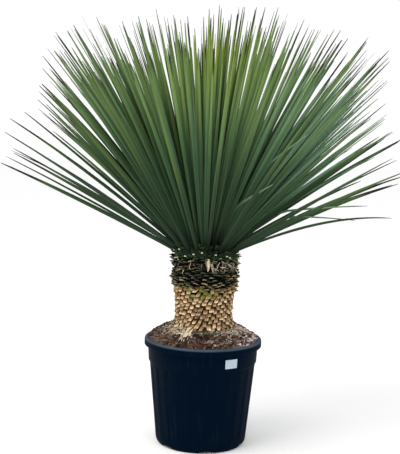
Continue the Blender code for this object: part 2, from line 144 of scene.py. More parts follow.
class Recipe:
    """One material's node tree, which ends in a Principled shader."""

    def __init__(
        self, name: str, roughness: float = 0.6, specular: float = 0.5, tint: Colour = (1.0, 1.0, 1.0)
    ) -> None:
        """Starts a material.

        Args:
            name: The material's name.
            roughness: Its roughness, where nothing drives it.
            specular: Its specular level, the same all over.
            tint: The colour of its shine, the same all over.
        """
        self.material = bpy.data.materials.new(name)
        self.material.use_nodes = True
        self.tree = self.material.node_tree
        self.shader = self.tree.nodes["Principled BSDF"]
        self.shader.inputs["Roughness"].default_value = roughness
        self.shader.inputs["Specular IOR Level"].default_value = specular
        self.shader.inputs["Specular Tint"].default_value = (*tint, 1.0)

    def node(
        self,
        kind: str,
        settings: dict[str, Any] | None = None,
        sockets: dict[int | str, Any] | None = None,
        output: int | str = 0,
    ) -> Channel:
        """Adds a node.

        Args:
            kind: The node's type.
            settings: Its own settings, which are set first. "stops" are a ramp's places and colours.
            sockets: The value or link of each input.
            output: Which output to use.

        Returns:
            That output.
        """
        made = self.tree.nodes.new(kind)
        for name, value in (settings or {}).items():
            if name == "stops":
                self._set_stops(made.color_ramp, value)
            else:
                setattr(made, name, value)
        for name, value in (sockets or {}).items():
            self.feed(made.inputs[name], value)
        return Channel(self, made.outputs[output])

    @staticmethod
    def _set_stops(ramp: bpy.types.ColorRamp, stops: list[tuple[float, Colour]]) -> None:
        """Gives a ramp these stops, in order.

        Args:
            ramp: The ramp.
            stops: The place and colour of each.
        """
        while len(ramp.elements) < len(stops):
            ramp.elements.new(1.0)
        for element, (place, colour) in zip(ramp.elements, stops):
            element.position = place
            element.color = (*colour, 1.0)

    def feed(self, socket: bpy.types.NodeSocket, value: Any) -> None:
        """Links a channel to an input, or sets the input's plain value.

        Args:
            socket: The input.
            value: The channel, colour or number.
        """
        if isinstance(value, Channel):
            self.tree.links.new(value.socket, socket)
        elif isinstance(value, tuple) and socket.type == "RGBA":
            socket.default_value = (*value, 1.0)
        else:
            socket.default_value = value

    def sum(self, operation: str, first: Channel | float, second: Channel | float) -> Channel:
        """A Math node on two numbers."""
        return self.node("ShaderNodeMath", {"operation": operation}, {0: first, 1: second})

    def place(self) -> Channel:
        """The point's place in the frame, in metres."""
        return self.node("ShaderNodeTexCoord", output="Object")

    def part_of(self, vector: Channel, axis: str) -> Channel:
        """One axis of a place."""
        return self.node("ShaderNodeSeparateXYZ", None, {0: vector}, axis)

    def mark(self, name: str) -> Channel:
        """The piece's own number of this name, such as how far along a leaf a point is."""
        return self.node("ShaderNodeAttribute", {"attribute_name": name}, None, "Fac")

    def grain(self, scale: float, detail: float = 2.0, where: Channel | None = None) -> Channel:
        """Noise from 0 to 1 with this many lumps to a metre, laid out on the frame or on another place."""
        sockets = {"Vector": where or self.place(), "Scale": scale, "Detail": detail}
        return self.node("ShaderNodeTexNoise", None, sockets)

    def point(self, x: Channel | float, y: Channel | float, z: Channel | float) -> Channel:
        """A place made of three numbers."""
        return self.node("ShaderNodeCombineXYZ", None, {0: x, 1: y, 2: z})

    def ramp(self, share: Channel, stops: list[tuple[float, Colour]]) -> Channel:
        """The colour at this share of a row of stops."""
        return self.node("ShaderNodeValToRGB", {"stops": stops}, {0: share})

    def mix(self, share: Channel | float, first: Channel | Colour, second: Channel | Colour) -> Channel:
        """The colour at this share of the way from the first to the second."""
        return self.node("ShaderNodeMix", {"data_type": "RGBA"}, {0: share, 6: first, 7: second}, 2)

    def lit(self, colour: Channel | Colour, strength: Channel) -> Channel:
        """The colour, brighter or darker."""
        return self.node("ShaderNodeVectorMath", {"operation": "SCALE"}, {0: colour, "Scale": strength})

    def done(
        self,
        colour: Channel | Colour,
        roughness: Channel | None = None,
        height: Channel | None = None,
        depth: float = 0.001,
    ) -> bpy.types.Material:
        """Joins the finish to the shader.

        Args:
            colour: The base colour.
            roughness: The roughness, if it changes over the surface.
            height: The relief, from 0 to 1.
            depth: How deep the relief is.

        Returns:
            The material.
        """
        self.feed(self.shader.inputs["Base Color"], colour)
        if roughness:
            self.feed(self.shader.inputs["Roughness"], roughness)
        if height:
            sockets = {"Strength": 1.0, "Distance": depth, "Height": height}
            self.feed(self.shader.inputs["Normal"], self.node("ShaderNodeBump", None, sockets))
        return self.material


# Finishes


@dataclass(frozen=True)
class PotPlastic:
    """Near-black moulded plastic, with dust and a painted highlight on its rim, and faint drawn streaks."""

    plastic: Colour = (0.0006, 0.0040, 0.0110)
    worn: Colour = (0.0030, 0.007, 0.014)
    dust_and_highlight: Colour = (0.095, 0.135, 0.185)
    rim_height: float = 0.335
    dust_and_highlight_depth: float = 0.006
    drawn_out: tuple[float, float, float] = (1.0, 1.0, 0.05)

    def material(self) -> bpy.types.Material:
        """Builds the material.

        Returns:
            The material.
        """
        recipe = Recipe("pot_plastic", roughness=0.45, specular=0.02, tint=(0.15, 0.50, 1.0))
        place = recipe.place()
        height = recipe.part_of(place, "Z")
        times = {"operation": "MULTIPLY"}
        stretched = recipe.node("ShaderNodeVectorMath", times, {0: place, 1: self.drawn_out})
        drawn = recipe.grain(130.0, 3.0, stretched)
        patches = recipe.grain(14.0, 4.0)
        specks = recipe.grain(900.0, 1.0)
        worn = recipe.mix(drawn.past(0.45, 0.75) * patches.past(0.35, 0.7), self.plastic, self.worn)
        # the rim's top is lighter: dust on it, and a painted highlight where the light catches it
        on_rim = height.past(self.rim_height - self.dust_and_highlight_depth, self.rim_height)
        dusty_and_highlit = recipe.mix(on_rim * (0.35 + 0.5 * patches), worn, self.dust_and_highlight)
        rough = 0.45 + 0.16 * patches + 0.08 * specks + 0.2 * on_rim
        return recipe.done(dusty_and_highlit, rough, 0.6 * specks + 0.4 * drawn, 0.00012)


@dataclass(frozen=True)
class LabelPaper:
    """A blank white sticker, cool in the shade and a little creased."""

    paper: Colour = (0.39, 0.47, 0.53)
    shade: Colour = (0.30, 0.38, 0.45)

    def material(self) -> bpy.types.Material:
        """Builds the material.

        Returns:
            The material.
        """
        recipe = Recipe("label_paper", roughness=0.42)
        crease = recipe.grain(70.0, 2.0)
        return recipe.done(recipe.mix(crease.past(0.45, 0.8), self.paper, self.shade), None, crease, 0.0004)


@dataclass(frozen=True)
class PottingMix:
    """Red-brown peat and bark, greyer where it is dry on the right."""

    dark: Colour = (0.012, 0.007, 0.006)
    red: Colour = (0.066, 0.029, 0.020)
    brown: Colour = (0.115, 0.072, 0.046)
    tan: Colour = (0.24, 0.165, 0.12)
    dry: Colour = (0.30, 0.225, 0.215)

    def material(self) -> bpy.types.Material:
        """Builds the material.

        Returns:
            The material.
        """
        recipe = Recipe("potting_mix", roughness=0.95, specular=0.2)
        place = recipe.place()
        coarse = recipe.grain(60.0, 4.0)
        fine = recipe.grain(420.0, 3.0)
        cells = recipe.node("ShaderNodeTexVoronoi", None, {"Vector": place, "Scale": 230.0}, "Color")
        cell = recipe.part_of(cells, "X")
        left = recipe.part_of(place, "X").past(-0.02, -0.10)
        base = recipe.mix(coarse.past(0.35, 0.62), self.dark, recipe.mix(left, self.red, self.brown))
        bits = recipe.mix(cell.past(0.72, 0.9) * fine.past(0.4, 0.6), base, self.tan)
        dry_side = recipe.part_of(place, "X").past(0.04, 0.15) * recipe.grain(26.0, 3.0).past(0.4, 0.6)
        return recipe.done(recipe.mix(0.8 * dry_side, bits, self.dry), None, 0.5 * coarse + 0.5 * fine, 0.003)


@dataclass(frozen=True)
class MixedBits:
    """Loose chips and crumbs: each takes its colour from its own tone."""

    stops: tuple[tuple[float, Colour], ...] = (
        (0.0, (0.008, 0.005, 0.004)),
        (0.30, (0.060, 0.028, 0.019)),
        (0.55, (0.13, 0.080, 0.055)),
        (0.75, (0.30, 0.225, 0.19)),
        (1.0, (0.66, 0.56, 0.53)),
    )

    def material(self) -> bpy.types.Material:
        """Builds the material.

        Returns:
            The material.
        """
        recipe = Recipe("mixed_bits", roughness=0.9, specular=0.25)
        grain = recipe.grain(500.0, 3.0)
        colour = recipe.ramp(recipe.mark("tone"), list(self.stops))
        return recipe.done(recipe.lit(colour, 0.7 + 0.6 * grain), None, grain, 0.0008)


@dataclass(frozen=True)
class ScarWood:
    """Dry leaf scars: tan, pale at their low lip, which also takes a painted highlight, with painted shade in
    the gaps and on their upper parts, green with algae under the band.
    """

    # painted shade, in the gaps between scars, on their upper parts and on the core
    gap: Colour = (0.026, 0.012, 0.004)
    face: Colour = (0.19, 0.112, 0.050)
    warm: Colour = (0.27, 0.145, 0.045)
    # the pale cut lip, made paler still by a painted highlight
    lip: Colour = (0.80, 0.59, 0.37)
    algae: Colour = (0.16, 0.18, 0.030)
    rust: Colour = (0.36, 0.17, 0.050)
    algae_from: float = 0.466
    algae_full: float = 0.498

    def material(self) -> bpy.types.Material:
        """Builds the material.

        Returns:
            The material.
        """
        recipe = Recipe("scar_wood", roughness=0.9, specular=0.12)
        place = recipe.place()
        along = recipe.mark("along")
        out = recipe.mark("out")
        tone = recipe.mark("tone")
        grain = recipe.grain(420.0, 4.0)
        patches = recipe.grain(38.0, 3.0)
        fibres = recipe.grain(1.0, 2.0, recipe.point(recipe.mark("across") * 4.0, along * 0.9, tone * 60.0))
        face = recipe.mix(patches.past(0.35, 0.7), self.face, self.warm)
        streaks = fibres.past(0.36, 0.62)
        # the low lip: its own pale colour, and a painted highlight
        low = (along + 0.30 * streaks).past(0.72, 0.38)
        lips_and_highlight = recipe.mix(low * (0.35 + 0.75 * tone), face, self.lip)
        # painted shade where the scars meet, and on the upper part of each, under the one above
        painted_shade_mask = recipe.sum("MAXIMUM", out.past(0.88, 0.45), along.past(0.58, 0.88))
        streaky = recipe.lit(lips_and_highlight, 0.06 + 0.35 * tone + 0.4 * grain + 0.80 * streaks)
        shaded = recipe.mix(painted_shade_mask, streaky, self.gap)
        height = recipe.part_of(place, "Z") + 0.016 * patches
        turned = recipe.part_of(place, "X")
        stain = recipe.mix(turned.past(-0.040, -0.070), self.algae, self.rust)
        green = height.past(self.algae_from, self.algae_full) * recipe.grain(75.0, 3.0).past(0.36, 0.6)
        mossy = green * turned.past(0.080, 0.03) * (0.35 + 0.6 * tone.past(0.9, 0.3))
        stained = recipe.mix(mossy, shaded, recipe.lit(stain, 0.4 + 0.9 * grain))
        return recipe.done(stained, None, 0.4 * grain + 0.6 * fibres, 0.0014)


@dataclass(frozen=True)
class OldBases:
    """Weathered leaf bases: olive, with painted shade that makes them near-black towards their roots, grey at
    the cut, tan where they have shredded.
    """

    flake_root_shade: Colour = (0.0012, 0.0011, 0.0008)
    olive: Colour = (0.030, 0.034, 0.018)
    grey: Colour = (0.30, 0.285, 0.20)
    tan: Colour = (0.42, 0.27, 0.13)
    moss: Colour = (0.20, 0.20, 0.045)

    def material(self) -> bpy.types.Material:
        """Builds the material.

        Returns:
            The material.
        """
        recipe = Recipe("old_bases", roughness=0.9, specular=0.08)
        out = recipe.mark("out")
        tone = recipe.mark("tone")
        grain = recipe.grain(260.0, 4.0)
        place = recipe.place()
        height = recipe.part_of(place, "Z")
        right = recipe.part_of(place, "X")
        # painted shade: near-black towards each flake's root and on the core between them
        body = recipe.mix(out.past(0.35, 0.90), self.flake_root_shade, recipe.lit(self.olive, 0.3 + 1.3 * grain))
        rim = out.past(0.88, 1.0) * (0.15 + tone.past(0.05, 0.8)) * (0.4 + grain)
        tipped = recipe.mix(rim * (0.55 + 0.45 * height.past(0.560, 0.530)), body, self.grey)
        shredded = recipe.mix(tone.past(0.90, 0.94) * out.past(0.5, 0.9), tipped, self.tan)
        low = height.past(0.528, 0.498) * recipe.grain(60.0, 3.0).past(0.35, 0.6) * out.past(0.4, 0.9)
        mossy = recipe.mix(0.75 * low, shredded, recipe.mix(right.past(0.0, 0.06), self.moss, self.tan))
        return recipe.done(mossy, None, grain, 0.0015)


@dataclass(frozen=True)
class LeafSkin:
    """Stiff leaves: bluish, with painted shade that darkens them at the root, yellow-green higher up, painted
    sunlight on the top of the crown, brown at the point, pale-edged.
    """

    # the colour along each leaf, from the root: darkest at the root with painted shade, yellow-green further
    # out
    along_stops: tuple[tuple[float, Colour], ...] = (
        (0.0, (0.012, 0.022, 0.011)),
        (0.11, (0.029, 0.064, 0.032)),
        (0.24, (0.027, 0.072, 0.034)),
        (0.37, (0.031, 0.082, 0.035)),
        (0.48, (0.038, 0.092, 0.035)),
        (0.60, (0.060, 0.128, 0.046)),
        (0.73, (0.110, 0.200, 0.074)),
        (0.88, (0.155, 0.245, 0.090)),
        (1.0, (0.130, 0.200, 0.075)),
    )
    # a yellow-green: painted sunlight on the top of the crown, and the own colour of some leaves
    sunlit_and_yellow: Colour = (0.175, 0.262, 0.054)
    blue: Colour = (0.118, 0.222, 0.145)
    teal: Colour = (0.032, 0.082, 0.056)
    # painted sunlight: a golden green for the top middle of the crown
    sunlit_gold: Colour = (0.235, 0.310, 0.032)
    margin: Colour = (0.30, 0.33, 0.12)
    pale: Colour = (0.17, 0.25, 0.15)
    dry: Colour = (0.026, 0.025, 0.024)
    painted_sun_from: float = 0.96
    painted_sun_full: float = 1.24

    def material(self) -> bpy.types.Material:
        """Builds the material.

        Returns:
            The material.
        """
        recipe = Recipe("leaf_skin", roughness=0.5, specular=0.12)
        place = recipe.place()
        along = recipe.mark("along")
        across = recipe.mark("across")
        tone = recipe.mark("tone")
        side = recipe.part_of(place, "X")
        height = recipe.part_of(place, "Z")
        fibres = recipe.grain(1.0, 3.0, recipe.point(across * 26.0, along * 5.0, tone * 90.0))
        base = recipe.ramp(along, list(self.along_stops))
        # painted sunlight: yellow-green on the top left and middle of the crown, short of the tips
        high = height.past(self.painted_sun_from, self.painted_sun_full) * side.past(-0.25, -0.03) * side.past(0.42, 0.10)
        sunlit_and_yellow = recipe.mix(0.85 * high * along.past(0.97, 0.86), base, self.sunlit_and_yellow)
        cool = side.past(0.04, 0.32) * along.past(0.22, 0.50) * along.past(0.95, 0.80) * (0.5 + 0.3 * tone)
        bluish = recipe.mix(cool, sunlit_and_yellow, self.blue)
        # painted sunlight on the top middle of the crown
        middle = height.past(1.10, 1.26) * abs(side - 0.025).past(0.11, 0.03) * along.past(0.6, 0.85)
        golden = recipe.mix(0.6 * middle, bluish, self.sunlit_gold)
        own = recipe.grain(1.0, 0.0, recipe.point(tone * 37.0, 5.0, 0.0))
        cooler = recipe.mix(0.55 * own.past(0.47, 0.33) * along.past(0.2, 0.5), golden, self.teal)
        # some leaves are yellower of their own
        warmer = recipe.mix(0.40 * own.past(0.53, 0.68) * along.past(0.3, 0.6), cooler, self.sunlit_and_yellow)
        edge = abs(across).past(0.36, 0.46) * along.past(0.05, 0.25)
        edged = recipe.mix(0.24 * edge, warmer, self.margin)
        paled = recipe.mix(tone.past(1.0, 1.8) * along.past(0.2, 0.5), edged, self.pale)
        dried = recipe.mix(recipe.mark("out").past(0.80, 0.92), paled, self.dry)
        # painted shade: one half of each leaf darker across its keel, the left side and the low leaves
        # darker, and a dark patch near the roots just right of the middle
        keeled = 0.16 * across.past(-0.08, 0.08)
        leaf_root_shade = 0.40 * side.past(-0.005, 0.015) * side.past(0.08, 0.03) * along.past(0.20, 0.05)
        shaded = 0.18 * side.past(-0.12, -0.45) + 0.12 * height.past(1.0, 0.78) + keeled + leaf_root_shade
        # each leaf's tone sets its own brightness, and a tone below 0 is painted shade
        strength = 0.93 + 0.18 * tone + 0.22 * fibres - shaded
        return recipe.done(recipe.lit(dried, strength), 0.55 + 0.2 * fibres, fibres, 0.0004)


@dataclass(frozen=True)
class PaleFlesh:
    """The fresh cut end of a leaf: whitish green, on a dark green stub with painted shade towards its root.
    """

    cut: Colour = (0.62, 0.70, 0.50)
    skin: Colour = (0.022, 0.052, 0.014)

    def material(self) -> bpy.types.Material:
        """Builds the material.

        Returns:
            The material.
        """
        recipe = Recipe("pale_flesh", roughness=0.7, specular=0.12)
        grain = recipe.grain(700.0, 2.0)
        cut = recipe.lit(self.cut, 0.75 + 0.4 * grain)
        fresh = recipe.mark("out").past(0.80, 0.95) * recipe.mark("tone").past(0.5, 0.8)
        # painted shade: the stub's skin darker towards its root, under the crown
        old = recipe.lit(self.skin, 0.3 + 1.2 * recipe.mark("out"))
        return recipe.done(recipe.mix(fresh, old, cut), None, grain, 0.0005)


@dataclass(frozen=True)
class Straw:
    """Dead leaf fibre: cream, with darker strands."""

    pale: Colour = (0.72, 0.63, 0.45)
    dark: Colour = (0.19, 0.130, 0.080)

    def material(self) -> bpy.types.Material:
        """Builds the material.

        Returns:
            The material.
        """
        recipe = Recipe("straw", roughness=0.8, specular=0.25)
        across = recipe.mark("across")
        along = recipe.mark("along")
        tone = recipe.mark("tone")
        strands = recipe.grain(1.0, 3.0, recipe.point(across * 9.0, along * 3.0, tone * 70.0))
        share = (1.15 * tone + 0.7 * strands - 0.55).past(0.0, 0.8)
        return recipe.done(recipe.mix(share, self.dark, self.pale), None, strands, 0.0006)


@dataclass(frozen=True)
class Moss:
    """Grey-green moss."""

    dark: Colour = (0.035, 0.045, 0.020)
    pale: Colour = (0.16, 0.18, 0.10)

    def material(self) -> bpy.types.Material:
        """Builds the material.

        Returns:
            The material.
        """
        recipe = Recipe("moss", roughness=0.95, specular=0.15)
        grain = recipe.grain(600.0, 3.0)
        share = 0.5 * recipe.mark("tone") + 0.5 * grain
        return recipe.done(recipe.mix(share, self.dark, self.pale), None, grain, 0.001)


@dataclass(frozen=True)
class PaleFloor:
    """The studio's plain floor."""

    colour: Colour = (0.96, 0.96, 0.96)

    def material(self) -> bpy.types.Material:
        """Builds the material."""
        return Recipe("pale_floor", roughness=0.9, specular=0.1).done(self.colour)


# Modelling tools


class Bench:
    """Blender's own modelling tools, used as by hand."""

    @staticmethod
    def clear_selection() -> None:
        """Leaves nothing selected."""
        bpy.ops.object.select_all(action="DESELECT")

    @staticmethod
    def pick(piece: bpy.types.Object) -> None:
        """Selects one piece alone and makes it the active one.

        Args:
            piece: The piece.
        """
        Bench.clear_selection()
        piece.select_set(True)
        bpy.context.view_layer.objects.active = piece

    @staticmethod
    def start(primitive: Callable[..., set[str]], **settings: Any) -> bpy.types.Object:
        """Adds a primitive, selected alone, with its place in its mesh.

        Args:
            primitive: The operator that adds it.
            settings: The operator's own settings.

        Returns:
            The piece that the primitive is the start of.
        """
        Bench.clear_selection()
        primitive(**settings)
        piece = bpy.context.object
        Bench.settle(piece)
        return piece

    @staticmethod
    def strip(columns: int, rows: int) -> bpy.types.Object:
        """A flat strip of unit size along +Y, its root at the origin, of so many columns and rows."""
        parts = {"x_subdivisions": columns, "y_subdivisions": rows}
        return Bench.start(bpy.ops.mesh.primitive_grid_add, size=1.0, location=(0.0, 0.5, 0.0), **parts)

    @staticmethod
    @contextmanager
    def editing(piece: bpy.types.Object) -> Iterator[None]:
        """Edit mode on one piece, by faces.

        Args:
            piece: The piece.

        Returns:
            The edit, for a with statement.
        """
        Bench.pick(piece)
        bpy.context.tool_settings.mesh_select_mode = (False, False, True)
        bpy.ops.object.mode_set(mode="EDIT")
        yield
        bpy.ops.object.mode_set(mode="OBJECT")

    @staticmethod
    def choose_faces(piece: bpy.types.Object, wanted: Callable[[bpy.types.MeshPolygon], bool]) -> None:
        """Marks the faces that pass a test, for the next edit.

        Args:
            piece: The piece, in object mode.
            wanted: Says whether a face is one of them.
        """
        mesh = piece.data
        for parts in (mesh.vertices, mesh.edges):
            parts.foreach_set("select", np.zeros(len(parts), bool))
        mesh.polygons.foreach_set("select", [wanted(face) for face in mesh.polygons])

    @staticmethod
    def settle(piece: bpy.types.Object) -> None:
        """Puts the piece's place into its mesh."""
        Bench.pick(piece)
        bpy.ops.object.transform_apply(location=True, rotation=True, scale=True)

    @staticmethod
    def apply(piece: bpy.types.Object, kind: str, **settings: Any) -> None:
        """Adds a modifier with these settings and applies it.

        Args:
            piece: The piece.
            kind: The modifier's type.
            settings: Its settings.
        """
        modifier = piece.modifiers.new(kind.lower(), kind)
        for name, value in settings.items():
            setattr(modifier, name, value)
        Bench.pick(piece)
        bpy.ops.object.modifier_apply(modifier=modifier.name)

    @staticmethod
    def round_off(piece: bpy.types.Object, angle: float = 35.0) -> None:
        """Shades the piece smooth, but for its corners."""
        Bench.pick(piece)
        bpy.ops.object.shade_smooth_by_angle(angle=math.radians(angle))

    @staticmethod
    def turned(name: str, sides: int, rings: list[Pair]) -> bpy.types.Object:
        """A closed turned body, drawn on ring by ring from its first disc.

        Args:
            name: The piece's name.
            sides: How many sides it has round the axis.
            rings: The radius and height of each ring.

        Returns:
            The piece.
        """
        radius, height = rings[0]
        disc = {"vertices": sides, "radius": radius, "fill_type": "NGON", "location": (0.0, 0.0, height)}
        piece = Bench.start(bpy.ops.mesh.primitive_circle_add, **disc)
        piece.name = piece.data.name = name
        with Bench.editing(piece):
            bpy.ops.mesh.select_all(action="SELECT")
            for (last_radius, last_height), (radius, height) in pairwise(rings):
                step = {"value": (0.0, 0.0, height - last_height)}
                bpy.ops.mesh.extrude_region_move(TRANSFORM_OT_translate=step)
                share = radius / last_radius
                bpy.ops.transform.resize(value=(share, share, 1.0))
            bpy.ops.mesh.select_all(action="SELECT")
            bpy.ops.mesh.normals_make_consistent(inside=False)
        return piece

    @staticmethod
    def points_of(mesh: bpy.types.Mesh) -> np.ndarray:
        """The mesh's points, one row each.

        Args:
            mesh: The mesh.

        Returns:
            The points, as rows of X, Y and Z.
        """
        points = np.empty(len(mesh.vertices) * 3, np.float32)
        mesh.vertices.foreach_get("co", points)
        return points.reshape(-1, 3).astype(float)

    @staticmethod
    def move_points(mesh: bpy.types.Mesh, points: np.ndarray) -> None:
        """Puts the mesh's points at these places."""
        mesh.vertices.foreach_set("co", points.astype(np.float32).ravel())
        mesh.update()

    @staticmethod
    def mark(mesh: bpy.types.Mesh, **numbers: np.ndarray | float) -> None:
        """Writes numbers of these names on each point, for the finish to read.

        Args:
            mesh: The mesh.
            numbers: The numbers under each name: one for each point, or one for all.
        """
        for name, values in numbers.items():
            number = mesh.attributes.get(name) or mesh.attributes.new(name, "FLOAT", "POINT")
            number.data.foreach_set("value", np.broadcast_to(values, len(mesh.vertices)).astype(np.float32))

    @staticmethod
    def core(name: str, sides: int, rings: list[Pair]) -> bpy.types.Object:
        """A turned body that is covered by copies, marked as lying under them all.

        Args:
            name: The piece's name.
            sides: How many sides it has round the axis.
            rings: The radius and height of each ring.

        Returns:
            The piece.
        """
        piece = Bench.turned(name, sides, rings)
        Bench.mark(piece.data, along=0.0, across=0.0, out=0.0, tone=0.0)
        return piece

    @staticmethod
    def blank_from(piece: bpy.types.Object, mirrored: bool = False) -> bpy.types.Mesh:
        """Takes the finished mesh off its object, to be copied.

        Args:
            piece: The object.
            mirrored: Whether its copies are placed mirrored, so that its faces have to be turned first.

        Returns:
            The mesh.
        """
        mesh = piece.data
        for layer in list(mesh.uv_layers):
            mesh.uv_layers.remove(layer)
        if mirrored:
            mesh.flip_normals()
        bpy.data.objects.remove(piece)
        return mesh


class Copies:
    """Placed copies of a few blanks, joined at the end into one piece."""

    def __init__(self, name: str) -> None:
        """Starts an empty set of copies under this name."""
        self.name = name
        self.made: list[bpy.types.Object] = []

    def add(self, blank: bpy.types.Mesh, points: np.ndarray, tone: float) -> bpy.types.Mesh:
        """Places one copy.

        Args:
            blank: What is copied.
            points: Where its points go.
            tone: Its own tone, from 0 to 1.

        Returns:
            The copy's mesh.
        """
        mesh = blank.copy()
        Bench.move_points(mesh, points)
        Bench.mark(mesh, tone=tone)
        self.keep(bpy.data.objects.new(self.name, mesh))
        return mesh

    def keep(self, piece: bpy.types.Object) -> None:
        """Takes in a piece that is made already.

        Args:
            piece: The piece.
        """
        if not piece.users_collection:
            bpy.context.scene.collection.objects.link(piece)
        self.made.append(piece)

    def join(self) -> bpy.types.Object:
        """Joins all the copies into one piece.

        Returns:
            The piece.
        """
        Bench.clear_selection()
        for piece in self.made:
            piece.select_set(True)
        bpy.context.view_layer.objects.active = self.made[0]
        bpy.ops.object.join()
        joined = bpy.context.object
        joined.name = joined.data.name = self.name
        return joined


def hand_over(piece: bpy.types.Object, slot: Slot, material: bpy.types.Material, *nodes: str) -> None:
    """Dresses a finished piece and gives it to the frame.

    Args:
        piece: The piece, in place.
        slot: The record's slot that its finish belongs to. It is not used.
        material: Its finish.
        nodes: The solids that it stands for.
    """
    piece.data.materials.clear()
    piece.data.materials.append(material)
    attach(piece, BODY)
    if nodes:
        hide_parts(*nodes)
    LOG.info("%s: %d faces", piece.name, len(piece.data.polygons))


def between(low: float, high: float, share: float) -> float:
    """The value at this share of the way from low to high."""
    return low + (high - low) * share


def held(value: float) -> float:
    """The value, held between 0 and 1."""
    return min(max(value, 0.0), 1.0)


def spot(radius: float, turn: float) -> Pair:
    """The place this far from the axis, at this angle in radians."""
    return radius * math.cos(turn), radius * math.sin(turn)


def ring_points(radii: np.ndarray, turns: np.ndarray, heights: np.ndarray) -> np.ndarray:
    """Points at these distances from the axis, angles in radians and heights."""
    return np.stack((radii * np.cos(turns), radii * np.sin(turns), heights), axis=1)


def turned_points(turn: float, out: np.ndarray, across: np.ndarray, up: np.ndarray) -> np.ndarray:
    """Points so far out along an angle in radians, so far to the left of it and so high."""
    cosine, sine = math.cos(turn), math.sin(turn)
    return np.stack((out * cosine - across * sine, out * sine + across * cosine, up), axis=1)


def corner(middle: Pair, across: float, rise: float, steps: int) -> list[Pair]:
    """A quarter ellipse in a turned profile, from level with its middle to straight above or below it."""
    turns = [math.pi / 2 * step / steps for step in range(steps + 1)]
    return [(middle[0] + across * math.cos(turn), middle[1] + rise * math.sin(turn)) for turn in turns]


# Pot and label


@dataclass
class Pot:
    """The container: fluted wall, collar and turned-down rim, with drain slots at its foot."""

    rim_depth: float = 0.022
    rim_thickness: float = 0.0028
    rim_corner: float = 0.006
    edge: float = 0.0008
    wall: float = 0.0026
    collar_top_radius: float = 0.1738
    collar_foot: Pair = (0.1710, 0.2645)
    shoulder: Pair = (0.1672, 0.2605)
    body_foot: Pair = (0.1442, 0.022)
    base_radius: float = 0.1330
    floor: float = 0.003
    sides: int = 144
    flute_sides: int = 6
    flute_heights: Pair = (0.034, 0.252)
    flute_depth: float = 0.0016
    flute_slope: float = 0.003
    corner_steps: int = 6
    drain_count: int = 6
    drain_first_angle: float = -80.0
    drain_size: Pair = (0.050, 0.0085)
    drain_reach: Pair = (0.124, 0.160)
    drain_rounding: float = 0.3

    def __post_init__(self) -> None:
        """Reads the height and the rim from the frame."""
        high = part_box("pot")[1]
        self.height = high.z
        self.rim_radius = high.x

    def collar_radius(self, height: float) -> float:
        """The collar's outer radius at this height.

        Args:
            height: The height.

        Returns:
            The radius.
        """
        foot_radius, foot_height = self.collar_foot
        share = (height - foot_height) / (self.height - self.rim_depth - foot_height)
        return between(foot_radius, self.collar_top_radius, share)

    def rings(self) -> list[Pair]:
        """The closed profile, from the underside up the outside and down the inside.

        Returns:
            The radius and height of each ring.
        """
        foot_radius, foot_height = self.body_foot
        flute_low, flute_high = self.flute_heights
        shoulder_radius, shoulder_height = self.shoulder
        taper = (shoulder_radius - foot_radius) / (shoulder_height - foot_height)
        rim_foot = self.height - self.rim_depth
        shelf = self.height - self.rim_corner
        inner_rim = self.rim_radius - self.rim_thickness
        heel = (foot_radius - self.base_radius, -foot_height, self.corner_steps)
        edge = (self.rim_corner, self.rim_corner, self.corner_steps)
        return [
            *reversed(corner((self.base_radius, foot_height), *heel)),
            (foot_radius + taper * (flute_low - foot_height), flute_low),
            (foot_radius + taper * (flute_high - foot_height), flute_high),
            (shoulder_radius, shoulder_height),
            (self.collar_foot[0] - self.edge, self.collar_foot[1] - self.edge),
            (self.collar_foot[0], self.collar_foot[1] + self.edge),
            (self.collar_radius(shelf), shelf),
            (inner_rim, shelf - self.edge),
            (inner_rim, rim_foot + self.edge),
            (inner_rim + self.edge, rim_foot),
            (self.rim_radius - self.edge, rim_foot),
            (self.rim_radius, rim_foot + self.edge),
            *corner((self.rim_radius - self.rim_corner, shelf), *edge),
            (self.collar_top_radius + self.edge, self.height),
            (self.collar_top_radius - self.wall, self.height - self.wall),
            (self.collar_foot[0] - self.wall, self.collar_foot[1]),
            (shoulder_radius - self.wall, shoulder_height),
            (foot_radius - self.wall, foot_height),
            (self.base_radius - self.wall, self.floor),
        ]

    def is_flute(self, face: bpy.types.MeshPolygon) -> bool:
        """Whether a face of the outer wall lies between two ribs.

        Args:
            face: A face of the pot.

        Returns:
            True if it does.
        """
        low, high = self.flute_heights
        middle = face.center
        if not low < middle.z < high or middle.xy.dot(face.normal.xy) < 0.0:
            return False
        side = int((math.atan2(middle.y, middle.x) % math.tau) / math.tau * self.sides)
        return side % self.flute_sides not in (0, self.flute_sides - 1)

    def cut_drains(self, piece: bpy.types.Object) -> None:
        """Cuts the drain slots through the corner between wall and floor.

        Args:
            piece: The pot.
        """
        near, far = self.drain_reach
        width, height = self.drain_size
        for index in range(self.drain_count):
            turn = math.radians(self.drain_first_angle + index * 360.0 / self.drain_count)
            cutter = Bench.start(
                bpy.ops.mesh.primitive_cube_add,
                size=1.0,
                location=(*spot((near + far) / 2, turn), 0.0),
                rotation=(0.0, 0.0, turn),
                scale=(far - near, width, 2 * height),
            )
            Bench.apply(cutter, "BEVEL", width=height * self.drain_rounding, segments=2)
            Bench.apply(piece, "BOOLEAN", operation="DIFFERENCE", solver="EXACT", object=cutter)
            bpy.data.objects.remove(cutter)

    def build(self) -> None:
        """Models and dresses the pot."""
        piece = Bench.turned("nursery_pot", self.sides, self.rings())
        Bench.choose_faces(piece, self.is_flute)
        with Bench.editing(piece):
            bpy.ops.mesh.inset(thickness=self.flute_slope, depth=-self.flute_depth, use_boundary=True)
        self.cut_drains(piece)
        Bench.round_off(piece)
        hand_over(piece, Slot.POT, PotPlastic().material(), "pot")


